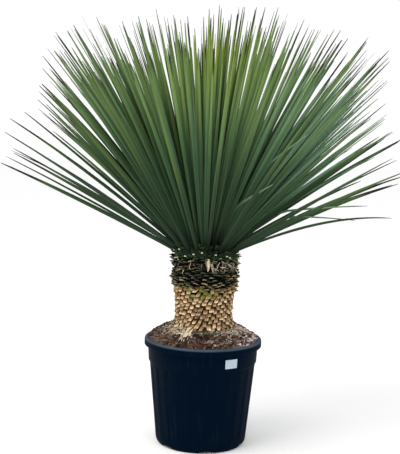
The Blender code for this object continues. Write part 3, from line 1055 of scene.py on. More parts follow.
@dataclass
class Label:
    """The blank sticker, which stays the frame's own solid."""

    def dress(self, node: bpy.types.Object) -> None:
        """Gives the solid its finish.

        Args:
            node: The label's solid.
        """
        node.data.materials.clear()
        node.data.materials.append(LabelPaper().material())
        LOG.info("label: dressed")


# Soil


@dataclass
class Soil:
    """The potting mix, heaped round the trunk, and the bits that lie on it."""

    sides: int = 224
    heap_rings: int = 40
    # the radius and height of each ring inside the pot
    buried: tuple[Pair, ...] = ((0.1298, 0.0033), (0.1410, 0.022), (0.1640, 0.2605), (0.1678, 0.2645))
    edge_radius: float = 0.1705
    edge_height: float = 0.333
    top_height: float = 0.3765
    crest_power: float = 0.68
    hole_radius: float = 0.0988
    hole_floor: float = 0.2997
    lean: float = 0.002
    lean_angle: float = 150.0
    bump: float = 0.0022
    bumps_per_metre: float = 38.0
    crumb: float = 0.0016
    crumbs_per_metre: float = 170.0
    ring_rise: float = 1e-5
    chip_count: int = 1700
    chip_kinds: int = 4
    chip_ring: Pair = (0.098, 0.168)
    chip_shape: tuple[float, float, float] = (1.0, 0.6, 0.34)
    chip_sizes: tuple[float, ...] = (0.003, 0.004, 0.0055, 0.008, 0.011)
    chip_spread: Pair = (0.8, 1.3)
    chip_tilt: float = 0.5
    chip_lift: float = 0.12
    left_share: float = 0.35
    pale_power: float = 1.7
    pale_share: float = 0.85
    right_grey: float = 0.75
    dry_grey: float = 0.3
    dry_radius: float = 0.12
    seed: int = SEED + 1

    def height_at(self, x: float, y: float) -> float:
        """The heap's height at this place, without the crumbs.

        Args:
            x: How far to the right it is.
            y: How far to the back.

        Returns:
            The height.
        """
        share = (self.edge_radius - math.hypot(x, y)) / (self.edge_radius - self.hole_radius)
        rise = held(share) ** self.crest_power
        turn = math.radians(self.lean_angle)
        lean = self.lean * (x * math.cos(turn) + y * math.sin(turn)) / self.edge_radius
        bump = self.bump * noise.noise(Vector((x, y, 0.0)) * self.bumps_per_metre)
        return between(self.edge_height, self.top_height, rise) + lean + bump

    def heap(self) -> bpy.types.Object:
        """Models the mix as one closed body, with crumbs on its heap.

        Returns:
            The body.
        """
        steps = range(self.heap_rings + 1)
        radii = [between(self.edge_radius, self.hole_radius, step / self.heap_rings) for step in steps]
        heap = [(radius, self.edge_height + step * self.ring_rise) for step, radius in zip(steps, radii)]
        rings = [*self.buried, *heap, (self.hole_radius, self.hole_floor)]
        piece = Bench.turned("potting_mix", self.sides, rings)
        points = Bench.points_of(piece.data)
        for point in points:
            if point[2] >= self.edge_height - SKIN_GAP:
                x, y, _ = point
                crumb = noise.fractal(Vector((x, y, 0.0)) * self.crumbs_per_metre, 0.7, 2.0, 4)
                point[2] = self.height_at(x, y) + self.crumb * crumb
        Bench.move_points(piece.data, points)
        return piece

    def chip_blank(self, index: int) -> bpy.types.Mesh:
        """A rough chip of bark, about one unit long.

        Args:
            index: Which one it is, so that each is rough in its own way.

        Returns:
            The blank.
        """
        piece = Bench.start(bpy.ops.mesh.primitive_cube_add, size=1.0)
        with Bench.editing(piece):
            bpy.ops.mesh.select_all(action="SELECT")
            bpy.ops.transform.resize(value=self.chip_shape)
            bpy.ops.mesh.subdivide(number_cuts=1)
            bpy.ops.transform.vertex_random(offset=0.13, seed=index)
        Bench.round_off(piece, 50.0)
        return Bench.blank_from(piece)

    def chips(self) -> bpy.types.Object:
        """Scatters chips over the heap: more and greyer on the right.

        Returns:
            The chips, as one piece.
        """
        rng = random.Random(self.seed)
        blanks = [self.chip_blank(index) for index in range(self.chip_kinds)]
        copies = Copies("loose_bits")
        near, far = self.chip_ring
        while len(copies.made) < self.chip_count:
            radius = math.sqrt(rng.uniform(near**2, far**2))
            turn = rng.uniform(0.0, math.tau)
            x, y = spot(radius, turn)
            rightness = max(0.0, math.cos(turn))
            if rng.random() > between(self.left_share, 1.0, rightness):
                continue
            size = rng.choice(self.chip_sizes) * rng.uniform(*self.chip_spread)
            grey = rightness * self.right_grey + self.dry_grey * (radius < self.dry_radius)
            tone = min(1.0, rng.random() ** self.pale_power * self.pale_share + grey * rng.random())
            spun = Matrix.Rotation(rng.uniform(0, math.tau), 3, "Z")
            tilted = Matrix.Rotation(rng.uniform(-self.chip_tilt, self.chip_tilt), 3, "X")
            blank = rng.choice(blanks)
            points = Bench.points_of(blank) @ np.array((spun @ tilted).transposed()) * size
            points += (x, y, self.height_at(x, y) + size * self.chip_lift)
            copies.add(blank, points, tone)
        return copies.join()

    def build(self) -> None:
        """Models and dresses the soil."""
        piece = self.heap()
        Bench.round_off(piece, 180.0)
        hand_over(piece, Slot.SOIL, PottingMix().material(), "soil")
        hand_over(self.chips(), Slot.SOIL, MixedBits().material())


# Trunk


@dataclass
class Lattice:
    """Places on a stem where its leaves grew, each a golden angle on from the one below."""

    foot: float
    top: float
    radius_at: Callable[[float], float]
    rise: float = 0.00042

    def places(self) -> Iterator[Pair]:
        """The angle, in radians, and the height of each place."""
        for index in range(int((self.top - self.foot) / self.rise) + 1):
            yield math.radians(-index * GOLDEN_ANGLE), self.foot + index * self.rise

    def wrap(
        self, across: np.ndarray, up: np.ndarray, out: np.ndarray, turn: float, height: float
    ) -> np.ndarray:
        """Lays flat points on the stem, round the place at this angle in radians and this height."""
        radii = np.array([self.radius_at(z) for z in np.maximum(height + up, self.foot)])
        return ring_points(radii + out, turn + across / radii, height + up)


@dataclass
class Trunk:
    """The tan stem, covered in cut leaf scars."""

    foot_height: float = 0.300
    foot_radius: float = 0.098
    shelf_height: float = 0.3770
    top_height: float = 0.4868
    waist_radius: float = 0.0838
    top_radius: float = 0.0910
    flare_radius: float = 0.1030
    flare_height: float = 0.012
    flare_power: float = 1.5
    steps: int = 24
    sides: int = 112
    gap: float = 0.0005
    scar_kinds: int = 8
    scar_width: float = 0.0140
    scar_height: float = 0.0170
    scar_lean: float = 0.24
    lean_spread: float = 0.24
    scar_nudge: float = 0.0024
    scar_heights: Pair = (0.84, 1.12)
    scar_widths: Pair = (0.76, 1.12)
    scar_rises: Pair = (0.45, 1.35)
    squareness: float = 5.0
    outline_wobble: float = 0.12
    skin_wobble: float = 0.09
    # each layer's rise, and its share of the width of the one under it
    layers: tuple[Pair, ...] = ((0.70, 1.0), (0.18, 0.97), (0.10, 0.86), (0.02, 0.66))
    rise: float = 0.0078
    foot_stretch: float = 0.7
    stretch_height: float = 0.014
    squeeze: float = 0.4
    overlap: float = 0.006
    seed: int = SEED + 2

    def radius_at(self, height: float) -> float:
        """The plain radius at this height: a waisted stem that flares at its foot.

        Args:
            height: The height.

        Returns:
            The radius.
        """
        above = max(0.0, height - self.shelf_height)
        stem = between(self.waist_radius, self.top_radius, above / (self.top_height - self.shelf_height))
        flare = math.exp(-((above / self.flare_height) ** self.flare_power))
        return between(stem, self.flare_radius, flare)

    def core(self) -> bpy.types.Object:
        """The plain stem under the scars, down to its foot in the soil.

        Returns:
            The stem.
        """
        shares = [step / self.steps for step in range(self.steps + 1)]
        heights = [between(self.shelf_height, self.top_height, share) for share in shares]
        rings = [(self.foot_radius, self.foot_height), (self.foot_radius, self.shelf_height - self.gap)]
        rings += [(self.radius_at(height), height) for height in heights]
        return Bench.core("trunk_core", self.sides, rings)

    def scar_blank(self, index: int) -> bpy.types.Mesh:
        """A cut leaf base: an uneven rounded cushion, of unit size, that is thickest at its low edge.

        Args:
            index: Which one it is, so that each is uneven in its own way.

        Returns:
            The blank, with X across it, Y up it and Z out from the stem.
        """
        piece = Bench.start(bpy.ops.mesh.primitive_circle_add, vertices=8, radius=0.5, fill_type="NGON")
        outline = Bench.points_of(piece.data)
        squared = (np.abs(outline[:, :2] * 2.0) ** self.squareness).sum(axis=1) ** (-1.0 / self.squareness)
        outline[:, :2] *= squared[:, None]
        Bench.move_points(piece.data, outline)
        with Bench.editing(piece):
            bpy.ops.mesh.select_all(action="SELECT")
            bpy.ops.transform.vertex_random(offset=self.outline_wobble, seed=index)
            for rise, share in self.layers:
                bpy.ops.mesh.extrude_region_move(TRANSFORM_OT_translate={"value": (0.0, 0.0, rise)})
                bpy.ops.transform.resize(value=(share, share, 1.0))
            bpy.ops.mesh.poke()
            bpy.ops.mesh.select_all(action="SELECT")
            bpy.ops.transform.vertex_random(offset=self.skin_wobble, seed=index + 20)
            bpy.ops.mesh.normals_make_consistent(inside=False)
        mesh = piece.data
        Bench.round_off(piece, 60.0)
        points = Bench.points_of(mesh)
        lowness = np.clip(0.5 - points[:, 1], 0.0, 1.0)
        Bench.mark(mesh, out=np.clip(points[:, 2], 0.0, 1.0), along=1.0 - lowness, across=points[:, 0])
        points[:, 2] = (points[:, 2] - 0.4) * (0.10 + 1.25 * lowness)
        Bench.move_points(mesh, points)
        return Bench.blank_from(piece)

    def add_scars(
        self,
        copies: Copies,
        foot: float,
        top: float,
        lift: float = 0.0,
        edge_at: Callable[[float], float] | None = None,
    ) -> None:
        """Covers a stretch of the stem with scars.

        Args:
            copies: What takes them in.
            foot: The height of the lowest.
            top: The height that none reaches above.
            lift: How far out from the plain stem they sit.
            edge_at: The height that they stay under at each angle, if it is lower than the top.
        """
        rng = random.Random(self.seed)
        lattice = Lattice(self.shelf_height, top, self.radius_at)
        blanks = [self.scar_blank(index) for index in range(self.scar_kinds)]
        for turn, height in lattice.places():
            scale, nudge = rng.uniform(*self.scar_heights), rng.uniform(-self.scar_nudge, self.scar_nudge)
            lean, rise = rng.gauss(self.scar_lean, self.lean_spread), rng.uniform(*self.scar_rises)
            wide, tone = rng.uniform(*self.scar_widths), rng.random()
            blank = rng.choice(blanks)
            if height < foot or (edge_at and height > edge_at(turn) + self.overlap):
                continue
            stretch = 1.0 + self.foot_stretch * math.exp(-(height - self.shelf_height) / self.stretch_height)
            flat = Bench.points_of(blank)
            up = flat[:, 1] * self.scar_height * scale * stretch + nudge
            up = np.clip(up, self.shelf_height - height + self.gap, top - height)
            across = flat[:, 0] * self.scar_width * wide / stretch**self.squeeze + lean * up
            out = flat[:, 2] * self.rise * rise + lift
            copies.add(blank, lattice.wrap(across, up, out, turn, height), tone)

    def build(self) -> None:
        """Models and dresses the trunk."""
        copies = Copies("tan_trunk")
        copies.keep(self.core())
        self.add_scars(copies, self.shelf_height, self.top_height)
        hand_over(copies.join(), Slot.TRUNK, ScarWood().material(), "trunk")


# Band of old leaf bases


@dataclass
class Band:
    """The dark band of old leaf bases, cut short and weathered, with the trunk's last scars at its foot."""

    trunk: Trunk
    foot: float = 0.4873
    top: float = 0.599
    foot_radius: float = 0.0915
    top_radius: float = 0.0985
    sides: int = 88
    low_foot: float = 0.003
    high_foot: float = 0.504
    left_share: float = 0.75
    flake_kinds: int = 8
    flake_width: float = 0.034
    flake_length: float = 0.0180
    flake_thickness: float = 0.0026
    skews: Pair = (-0.3, 0.3)
    bluntness: Pair = (0.25, 0.6)
    roundness: float = 0.30
    raggedness: float = 0.55
    arch: float = 0.0045
    curls: Pair = (-0.001, 0.004)
    crease: float = 0.0012
    crease_count: float = 160.0
    sunk: float = 0.003
    reaches: Pair = (0.75, 1.05)
    tilts: Pair = (-0.10, 0.22)
    arches: Pair = (0.7, 1.2)
    slants: Pair = (-0.22, 0.12)
    widths: Pair = (0.8, 1.15)
    nudge: float = 0.003
    torn_from: float = 0.548
    torn_share: float = 0.75
    torn_reach: float = 0.7
    torn_tone: float = 0.45
    scar_rise: float = 0.012
    scar_lift: float = 0.0022
    rise: float = 0.00036
    seed: int = SEED + 3

    def radius_at(self, height: float) -> float:
        """The plain radius at this height."""
        return between(self.foot_radius, self.top_radius, (height - self.foot) / (self.top - self.foot))

    def core(self) -> bpy.types.Object:
        """The plain stem under the flakes."""
        rings = [(self.foot_radius, self.foot), (self.top_radius, self.top)]
        return Bench.core("band_core", self.sides, rings)

    def foot_at(self, turn: float) -> float:
        """The lower edge at this angle, in radians: higher at the left."""
        share = min(1.0, self.left_share * (1.0 - math.cos(turn)))
        return between(self.foot + self.low_foot, self.high_foot, share)

    def flake_blank(self, index: int) -> bpy.types.Mesh:
        """A cut leaf base, root at the origin and along +Y: thin, arched, drawn to a ragged point.

        Args:
            index: Which one it is, so that each is torn in its own way.

        Returns:
            The blank.
        """
        rng = random.Random(self.seed + index)
        piece = Bench.strip(6, 3)
        mesh = piece.data
        points = Bench.points_of(mesh)
        share = np.clip(points[:, 1], 0.0, 1.0)
        side = points[:, 0] * 2.0
        skew = rng.uniform(*self.skews)
        bluntness = rng.uniform(*self.bluntness)
        half = 0.5 * (1.0 - (1.0 - bluntness) * share**1.4)
        ragged = np.array([noise.noise(Vector((place * 2.6, index * 5.3, 0.0))) for place in side])
        points[:, 0] = (side * half + skew * share) * self.flake_width
        points[:, 1] = share * self.flake_length * (1.0 - self.roundness * side**2 + self.raggedness * ragged)
        points[:, 2] = -self.arch * side**2 * (1.0 - 0.4 * share) - rng.uniform(*self.curls) * share**2
        places = [(x * self.crease_count, y * self.crease_count, index) for x, y, _ in points]
        points[:, 2] += self.crease * np.array([noise.noise(Vector(place)) for place in places])
        Bench.mark(mesh, out=share, along=share, across=side / 2.0)
        Bench.move_points(mesh, points)
        Bench.apply(piece, "SOLIDIFY", thickness=self.flake_thickness, offset=0.0)
        Bench.round_off(piece, 40.0)
        return Bench.blank_from(piece, mirrored=True)

    def build(self) -> None:
        """Models and dresses the band."""
        rng = random.Random(self.seed)
        lattice = Lattice(self.foot, self.top, self.radius_at, self.rise)
        blanks = [self.flake_blank(index) for index in range(self.flake_kinds)]
        copies = Copies("leaf_base_band")
        copies.keep(self.core())
        for turn, height in lattice.places():
            if height < self.foot_at(turn):
                continue
            is_torn = height > self.torn_from and rng.random() < self.torn_share
            blank = rng.choice(blanks)
            flat = Bench.points_of(blank)
            reach = rng.uniform(*self.reaches) * (self.torn_reach if is_torn else 1.0)
            out = flat[:, 1] * reach - self.sunk
            tilt = rng.uniform(*self.tilts)
            up = flat[:, 2] * rng.uniform(*self.arches) + out * tilt + flat[:, 0] * rng.uniform(*self.slants)
            up = np.clip(up, self.foot - height, self.top - height)
            across = flat[:, 0] * rng.uniform(*self.widths) + rng.uniform(-self.nudge, self.nudge)
            tone = rng.random() * (self.torn_tone if is_torn else 1.0)
            copies.add(blank, lattice.wrap(across, up, out, turn, height), tone)
        hand_over(copies.join(), Slot.OLD_BASES, OldBases().material(), "old_leaf_bases")
        upper = Copies("upper_scars")
        self.trunk.add_scars(upper, self.foot, self.high_foot + self.scar_rise, self.scar_lift, self.foot_at)
        hand_over(upper.join(), Slot.OLD_BASES, ScarWood().material())


# Crown


class Bend(Enum):
    """How a leaf departs from a plain droop."""

    PLAIN = "plain"
    KINKED = "kinked"


@dataclass(frozen=True)
class Leaf:
    """How one leaf stands: angles in radians, round the axis, from upright and about its own length."""

    STEPS: ClassVar[int] = 40
    DROOP_POWER: ClassVar[float] = 1.6
    KINK_SHARPNESS: ClassVar[float] = 40.0

    angle: float
    lean: float
    droop: float
    roll: float
    twist: float
    length: float
    width: float
    root: Vector
    bend: Bend = Bend.PLAIN
    kink_at: float = 0.6
    kink: float = 0.0

    def leans(self, share: np.ndarray) -> np.ndarray:
        """The angle from upright at each share of the leaf's length.

        Args:
            share: The shares, from 0 at the root to 1 at the tip.

        Returns:
            The angles, in radians.
        """
        plain = self.lean + self.droop * share**self.DROOP_POWER
        if self.bend is Bend.KINKED:
            plain = plain + self.kink / (1.0 + np.exp(-(share - self.kink_at) * self.KINK_SHARPNESS))
        return plain

    def place(self, blank: np.ndarray) -> np.ndarray:
        """Bends the straight blade and puts it where this leaf stands.

        Args:
            blank: The straight blade's points: across, along from 0 to 1, and up from its face.

        Returns:
            The points in the frame.
        """
        fine = np.linspace(0.0, 1.0, self.STEPS + 1)
        steps = self.leans((fine[1:] + fine[:-1]) / 2)
        out_line = np.concatenate(([0.0], np.cumsum(np.sin(steps)))) * self.length / self.STEPS
        up_line = np.concatenate(([0.0], np.cumsum(np.cos(steps)))) * self.length / self.STEPS
        share = np.clip(blank[:, 1], 0.0, 1.0)
        lean = self.leans(share)
        out = np.interp(share, fine, out_line)
        up = np.interp(share, fine, up_line)
        roll = self.roll + self.twist * share
        wide = blank[:, 0] * self.width
        across = wide * np.cos(roll) + blank[:, 2] * np.sin(roll)
        lift = blank[:, 2] * np.cos(roll) - wide * np.sin(roll)
        out = out - lift * np.cos(lean)
        up = up + lift * np.sin(lean)
        return turned_points(self.angle, out, across, up) + np.array(self.root)


@dataclass
class Crown:
    """The round head of stiff leaves on its heart, with the cut ones below."""

    foot: float = 0.5993
    foot_gap: float = 0.0012
    heart_radius: float = 0.096
    heart_height: float = 0.083
    heart_steps: int = 8
    heart_step: float = 11.0
    heart_sides: int = 48
    leaf_count: int = 1320
    spread: float = 66.0
    root_spread: float = 86.0
    low_tilt: float = 4.0
    right_reach: float = 0.018
    outer_share: float = 0.045
    outer_pull: float = 0.03
    outer_width: float = 1.15
    # the tone added to the outermost leaves: below 0, it darkens them as painted shade
    outer_shade_tone: float = -2.3
    dense_spread: float = 50.0
    angle_spread: float = 2.5
    lean_spread: float = 2.0
    # the front of the crown: where it starts, how soon it is full, and how its leaves stand and reach
    front_from: float = 0.30
    front_span: float = 0.5
    front_lift: float = 0.31
    front_reach: float = 0.06
    # tips that stay green in front: how much less they have dried, from how far forward, and how soon
    green_share: float = 0.25
    green_from: float = 0.12
    green_span: float = 0.18
    outer_age: float = 1.08
    middle_length: float = 0.662
    longest_length: float = 0.705
    longest_lean: float = 33.0
    lowest_length: float = 0.560
    long_share: float = 0.36
    long_reaches: Pair = (0.94, 1.03)
    short_reaches: Pair = (0.80, 0.90)
    outer_rolls: Pair = (35.0, 75.0)
    side_roll: float = 36.0
    roll_spread: float = 27.0
    twist_spread: float = 12.0
    least_droop: float = 2.0
    added_droop: float = 9.0
    droops: Pair = (0.3, 1.3)
    root_depth: float = 0.012
    root_lift: float = 0.003
    width: float = 0.0098
    widths: Pair = (0.82, 1.12)
    thickness: float = 0.0010
    thickness_taper: float = 0.6
    keel: float = 0.0019
    keel_taper: float = 0.8
    tip_crowding: float = 1.35
    blade_steps: int = 8
    stray_steps: int = 16
    # shares of a leaf's length, and its width there
    profile: tuple[Pair, ...] = (
        (0.0, 1.20), (0.06, 1.02), (0.25, 0.98), (0.50, 1.00), (0.64, 0.90), (0.76, 0.72), (0.86, 0.50),
        (0.94, 0.38), (1.0, 0.12),
    )
    comb_share: float = 0.8
    comb_power: float = 1.1
    comb_from: float = 0.3
    parting_height: float = 0.62
    parting_limit: float = 70.0
    parting_hair: float = 0.01
    # narrow gaps seen from the front: the angle from upright of each, and half its width, in degrees
    partings: tuple[Pair, ...] = (
        (-63.0, 0.9), (-60.0, 0.9), (-56.8, 0.9), (-53.0, 0.7), (-49.0, 0.3), (-45.5, 0.45), (-41.0, 0.7),
        (-31.0, 0.2), (-23.0, 0.3), (-17.0, 0.3), (-14.2, 0.5), (-10.5, 0.2), (-5.3, 0.25), (5.6, 0.25),
        (8.2, 0.25), (11.6, 0.4), (18.5, 0.5), (22.5, 0.45), (27.5, 0.4), (33.5, 0.75), (46.5, 0.45),
        (51.0, 0.6), (54.5, 0.9), (58.0, 0.9), (61.5, 0.9),
    )
    # waves in the outline: the angle of each from upright, its spread, and the share that it adds
    swells: tuple[tuple[float, float, float], ...] = (
        (-33.0, 6.0, 0.055),
        (-50.0, 4.0, -0.04),
        (-21.0, 2.5, -0.03),
        (-4.0, 4.5, -0.03),
        (21.0, 2.0, -0.03),
        (41.0, 4.5, 0.045),
        (50.0, 4.0, -0.06),
    )
    stub_count: int = 300
    stub_foot: float = 0.600
    stub_height: float = 0.048
    stub_leans: Pair = (78.0, 44.0)
    stub_radius: float = 1.11
    stub_slope: float = 0.25
    stub_heights: Pair = (0.598, 0.648)
    stub_turn: float = 0.618
    stub_tilt: float = 10.0
    pale_from: float = -0.2
    pale_share: float = 0.12
    pale_tone: float = 0.9
    dark_tones: Pair = (0.0, 0.45)
    # each one's length, width, thickness and reach past the row: freshly cut, and the ranges of the old ones
    fresh_cut: tuple[float, ...] = (0.026, 0.0062, 0.0036, 0.002)
    old_cut: tuple[Pair, ...] = ((0.024, 0.040), (0.0035, 0.0070), (0.0015, 0.003), (-0.004, 0.009))
    seed: int = SEED + 4

    def heart(self) -> bpy.types.Object:
        """The dome that the leaves stand on.

        Returns:
            The dome.
        """
        rings = [
            (self.heart_radius * math.cos(turn), self.foot + self.heart_height * math.sin(turn))
            for turn in (math.radians(step * self.heart_step) for step in range(self.heart_steps))
        ]
        return Bench.core("heart", self.heart_sides, rings)

    def blade(self, steps: int) -> bpy.types.Mesh:
        """A straight blade: unit width and length, keeled, and drawn to a needle point.

        Args:
            steps: How many parts its length is cut into.

        Returns:
            The blank.
        """
        piece = Bench.strip(2, steps)
        mesh = piece.data
        points = Bench.points_of(mesh)
        share = 1.0 - (1.0 - np.clip(points[:, 1], 0.0, 1.0)) ** self.tip_crowding
        places, widths = zip(*self.profile)
        Bench.mark(mesh, along=share, across=points[:, 0])
        is_middle = np.abs(points[:, 0]) < 0.1
        points[:, 0] *= np.interp(share, places, widths) * self.width
        points[:, 1] = share * self.longest_length
        points[:, 2] = np.where(is_middle, -self.keel * (1.0 - self.keel_taper * share), 0.0)
        Bench.move_points(mesh, points)
        Bench.apply(piece, "SOLIDIFY", thickness=self.thickness, offset=0.0, use_even_offset=True)
        Bench.round_off(piece, 50.0)
        points = Bench.points_of(mesh)
        points[:, 0] /= self.width
        points[:, 1] /= self.longest_length
        points[:, 2] *= 1.0 - self.thickness_taper * np.clip(points[:, 1], 0.0, 1.0)
        Bench.move_points(mesh, points)
        return Bench.blank_from(piece, mirrored=True)

    def lean_for(self, share: float) -> float:
        """A leaf's angle from upright, for its place from the middle (0) out (1).

        Args:
            share: The place.

        Returns:
            The angle.
        """
        if share < 1.0 - self.outer_share:
            dense = share / (1.0 - self.outer_share)
            return math.degrees(math.acos(1.0 - dense * (1.0 - math.cos(math.radians(self.dense_spread)))))
        return between(self.dense_spread, self.spread, (share - 1.0 + self.outer_share) / self.outer_share)

    def length_for(self, lean: float) -> float:
        """A leaf's length: longest part way out, shortest low down.

        Args:
            lean: Its angle from upright.

        Returns:
            The length.
        """
        if lean < self.longest_lean:
            return between(self.middle_length, self.longest_length, max(lean, 0.0) / self.longest_lean)
        share = (lean - self.longest_lean) / (self.spread - self.longest_lean)
        return between(self.longest_length, self.lowest_length, share)

    def root_at(self, angle: float, turn: float) -> Vector:
        """A leaf's place on the heart.

        Args:
            angle: The angle round it, in radians.
            turn: The angle down from its top, in radians.

        Returns:
            The place.
        """
        inner = self.heart_radius - self.root_depth
        up = self.foot + self.root_lift + (self.heart_height - self.root_depth) * math.cos(turn)
        return Vector((*spot(inner * math.sin(turn), angle), up))

    def leaf(self, index: int, rng: random.Random) -> Leaf:
        """Places one leaf.

        Args:
            index: Its number, counted from the middle of the crown out.
            rng: Where its chances come from.

        Returns:
            How it stands.
        """
        share = (index + 0.5) / self.leaf_count
        angle = math.radians(index * GOLDEN_ANGLE + rng.uniform(-self.angle_spread, self.angle_spread))
        plain = self.lean_for(share)
        root = self.root_at(angle, math.radians(plain / self.spread * self.root_spread))
        frontness = held((-math.sin(angle) - self.front_from) / self.front_span)
        lean = plain * (1.0 - self.front_lift * frontness) + rng.uniform(-self.lean_spread, self.lean_spread)
        lean += self.low_tilt * share**2 * math.cos(angle)
        droop = self.least_droop + self.added_droop * math.sin(math.radians(lean)) ** 2
        is_outer = share > 1.0 - self.outer_share
        is_long = rng.random() < self.long_share or is_outer
        reach = rng.uniform(*(self.long_reaches if is_long else self.short_reaches))
        reach *= 1.0 + (-self.outer_pull if is_outer else self.right_reach) * math.cos(angle)
        reach *= 1.0 + self.front_reach * frontness * share**4
        if is_outer:
            roll = math.copysign(rng.uniform(*self.outer_rolls), math.cos(angle))
        else:
            roll = rng.gauss(self.side_roll * math.cos(angle), self.roll_spread)
        return Leaf(
            angle=angle,
            lean=math.radians(lean),
            droop=math.radians(droop * rng.uniform(*self.droops)),
            roll=math.radians(roll),
            twist=math.radians(rng.gauss(0.0, self.twist_spread)),
            length=self.length_for(lean) * reach + self.root_depth,
            width=self.width * rng.uniform(*self.widths) * (self.outer_width if is_outer else 1.0),
            root=root,
        )

    def strays(self) -> Iterator[tuple[Leaf, float]]:
        """The bent leaves low down on the right, left and in front, each with its tone.

        Returns:
            Each leaf and its tone.
        """
        # a tone below 0 darkens a leaf as painted shade; one past 1 makes it paler
        for angle, turn, lean, droop, roll, length, kink_at, kink, tone, wide in (
            (-2.0, 84.0, 66.0, 26.0, 55.0, 0.500, 0.5, 0.0, -1.6, 1.1),
            (4.0, 78.0, 63.0, 10.0, 50.0, 0.535, 0.5, 0.0, -1.2, 1.1),
            (-14.0, 72.0, 50.0, 6.0, 35.0, 0.450, 0.42, 30.0, 1.15, 1.2),
            (-9.0, 76.0, 56.0, 8.0, 35.0, 0.400, 0.50, 30.0, 0.60, 1.1),
            (-62.0, 70.0, 37.0, 2.0, 62.0, 0.385, 0.46, 30.0, 1.60, 0.75),
            (-50.0, 60.0, 36.0, 2.0, 62.0, 0.500, 0.62, 22.0, 1.35, 0.75),
            (-176.0, 84.0, 63.0, 4.0, -62.0, 0.600, 0.5, 0.0, -0.8, 1.5),
            (172.0, 80.0, 61.0, 4.0, -58.0, 0.600, 0.5, 0.0, -0.9, 1.4),
        ):
            turned = math.radians(angle)
            leaf = Leaf(
                angle=turned,
                lean=math.radians(lean),
                droop=math.radians(droop),
                roll=math.radians(roll),
                twist=0.0,
                length=length + self.root_depth,
                width=self.width * wide,
                root=self.root_at(turned, math.radians(turn)),
                bend=Bend.KINKED if kink else Bend.PLAIN,
                kink_at=kink_at,
                kink=math.radians(kink),
            )
            yield leaf, tone

    def comb(self, points: np.ndarray, share: np.ndarray) -> None:
        """Combs a leaf out of the narrow partings seen from the front, and in or out with the outline.

        Args:
            points: The leaf's points, which are moved.
            share: How far along the leaf each one is.
        """
        near = np.abs(share - self.comb_share).argmin()
        x, y, z = points[near]
        nearness = EYE_DISTANCE / (EYE_DISTANCE + y)
        x *= nearness
        z = EYE_HEIGHT + (z - EYE_HEIGHT) * nearness - self.parting_height
        turn = math.degrees(math.atan2(x, z))
        reach = math.hypot(x, z)
        if reach < self.comb_from:
            return
        limit, hair = self.parting_limit, self.parting_hair
        before = [edge for place, _ in self.partings for edge in (place - hair, place + hair)]
        after = [edge for place, width in self.partings for edge in (place - width, place + width)]
        moved = math.radians(np.interp(turn, [-limit, *before, limit], [-limit, *after, limit]))
        for middle, spread, swell in self.swells:
            reach *= 1.0 + swell * math.exp(-(((turn - middle) / spread) ** 2))
        lag = (share / self.comb_share) ** self.comb_power / nearness
        points[:, 0] += (reach * math.sin(moved) - x) * lag
        points[:, 2] += (reach * math.cos(moved) - z) * lag

    def leaves(self) -> bpy.types.Object:
        """Models the heart and its leaves as one piece.

        Returns:
            The piece.
        """
        rng = random.Random(self.seed)
        copies = Copies("leaf_crown_fine")
        copies.keep(self.heart())
        inner_count = int(self.leaf_count * (1.0 - self.outer_share))
        placed = []
        for index in range(self.leaf_count):
            leaf = self.leaf(index, rng)
            placed.append((leaf, rng.random() + self.outer_shade_tone * (index > inner_count)))
        for steps, group in ((self.blade_steps, placed), (self.stray_steps, list(self.strays()))):
            blank = self.blade(steps)
            flat = Bench.points_of(blank)
            share = np.clip(flat[:, 1], 0.0, 1.0)
            for leaf, tone in group:
                points = leaf.place(flat)
                if group is placed:
                    self.comb(points, share)
                points[:, 2] = np.maximum(points[:, 2], self.foot + self.foot_gap)
                mesh = copies.add(blank, points, tone)
                green = self.green_share * held((-points[:, 1].min() - self.green_from) / self.green_span)
                age = (1.0 if tone > 0.0 else self.outer_age) - green
                Bench.mark(mesh, along=share * leaf.length / self.longest_length, out=share * age)
        return copies.join()

    def stub_blank(self) -> bpy.types.Mesh:
        """A leaf cut off near its root: a short flat stub of unit length, along +Y.

        Returns:
            The blank.
        """
        piece = Bench.start(bpy.ops.mesh.primitive_cube_add, size=1.0, location=(0.0, 0.5, 0.0))
        with Bench.editing(piece):
            bpy.ops.mesh.select_all(action="SELECT")
            bpy.ops.mesh.bevel(offset=0.12, segments=2, affect="EDGES")
        Bench.round_off(piece, 50.0)
        mesh = piece.data
        points = Bench.points_of(mesh)
        share = np.clip(points[:, 1], 0.0, 1.0)
        Bench.mark(mesh, out=share)
        points[:, 0] *= 1.5 - 0.5 * share
        Bench.move_points(mesh, points)
        return Bench.blank_from(piece, mirrored=True)

    def stub_places(self) -> Iterator[tuple[float, float, float]]:
        """Where the cut leaves end: first those that show in front, which are freshly cut, then the rest.

        Returns:
            The angle of each in radians, the height of its end, and its tone.
        """
        for angle, height in (
            (-163.0, 0.617), (-143.0, 0.624), (-125.6, 0.606), (-110.3, 0.614), (-95.8, 0.620),
            (-72.0, 0.614), (-63.7, 0.602), (-50.4, 0.607), (-44.0, 0.603), (-12.0, 0.640),
        ):
            yield math.radians(angle), height, 1.0
        rng = random.Random(self.seed + 1)
        for index in range(self.stub_count):
            angle = math.tau * (index * self.stub_turn % 1.0)
            is_pale = math.sin(angle) > self.pale_from and rng.random() < self.pale_share
            height = rng.uniform(*self.stub_heights)
            yield angle, height, self.pale_tone if is_pale else rng.uniform(*self.dark_tones)

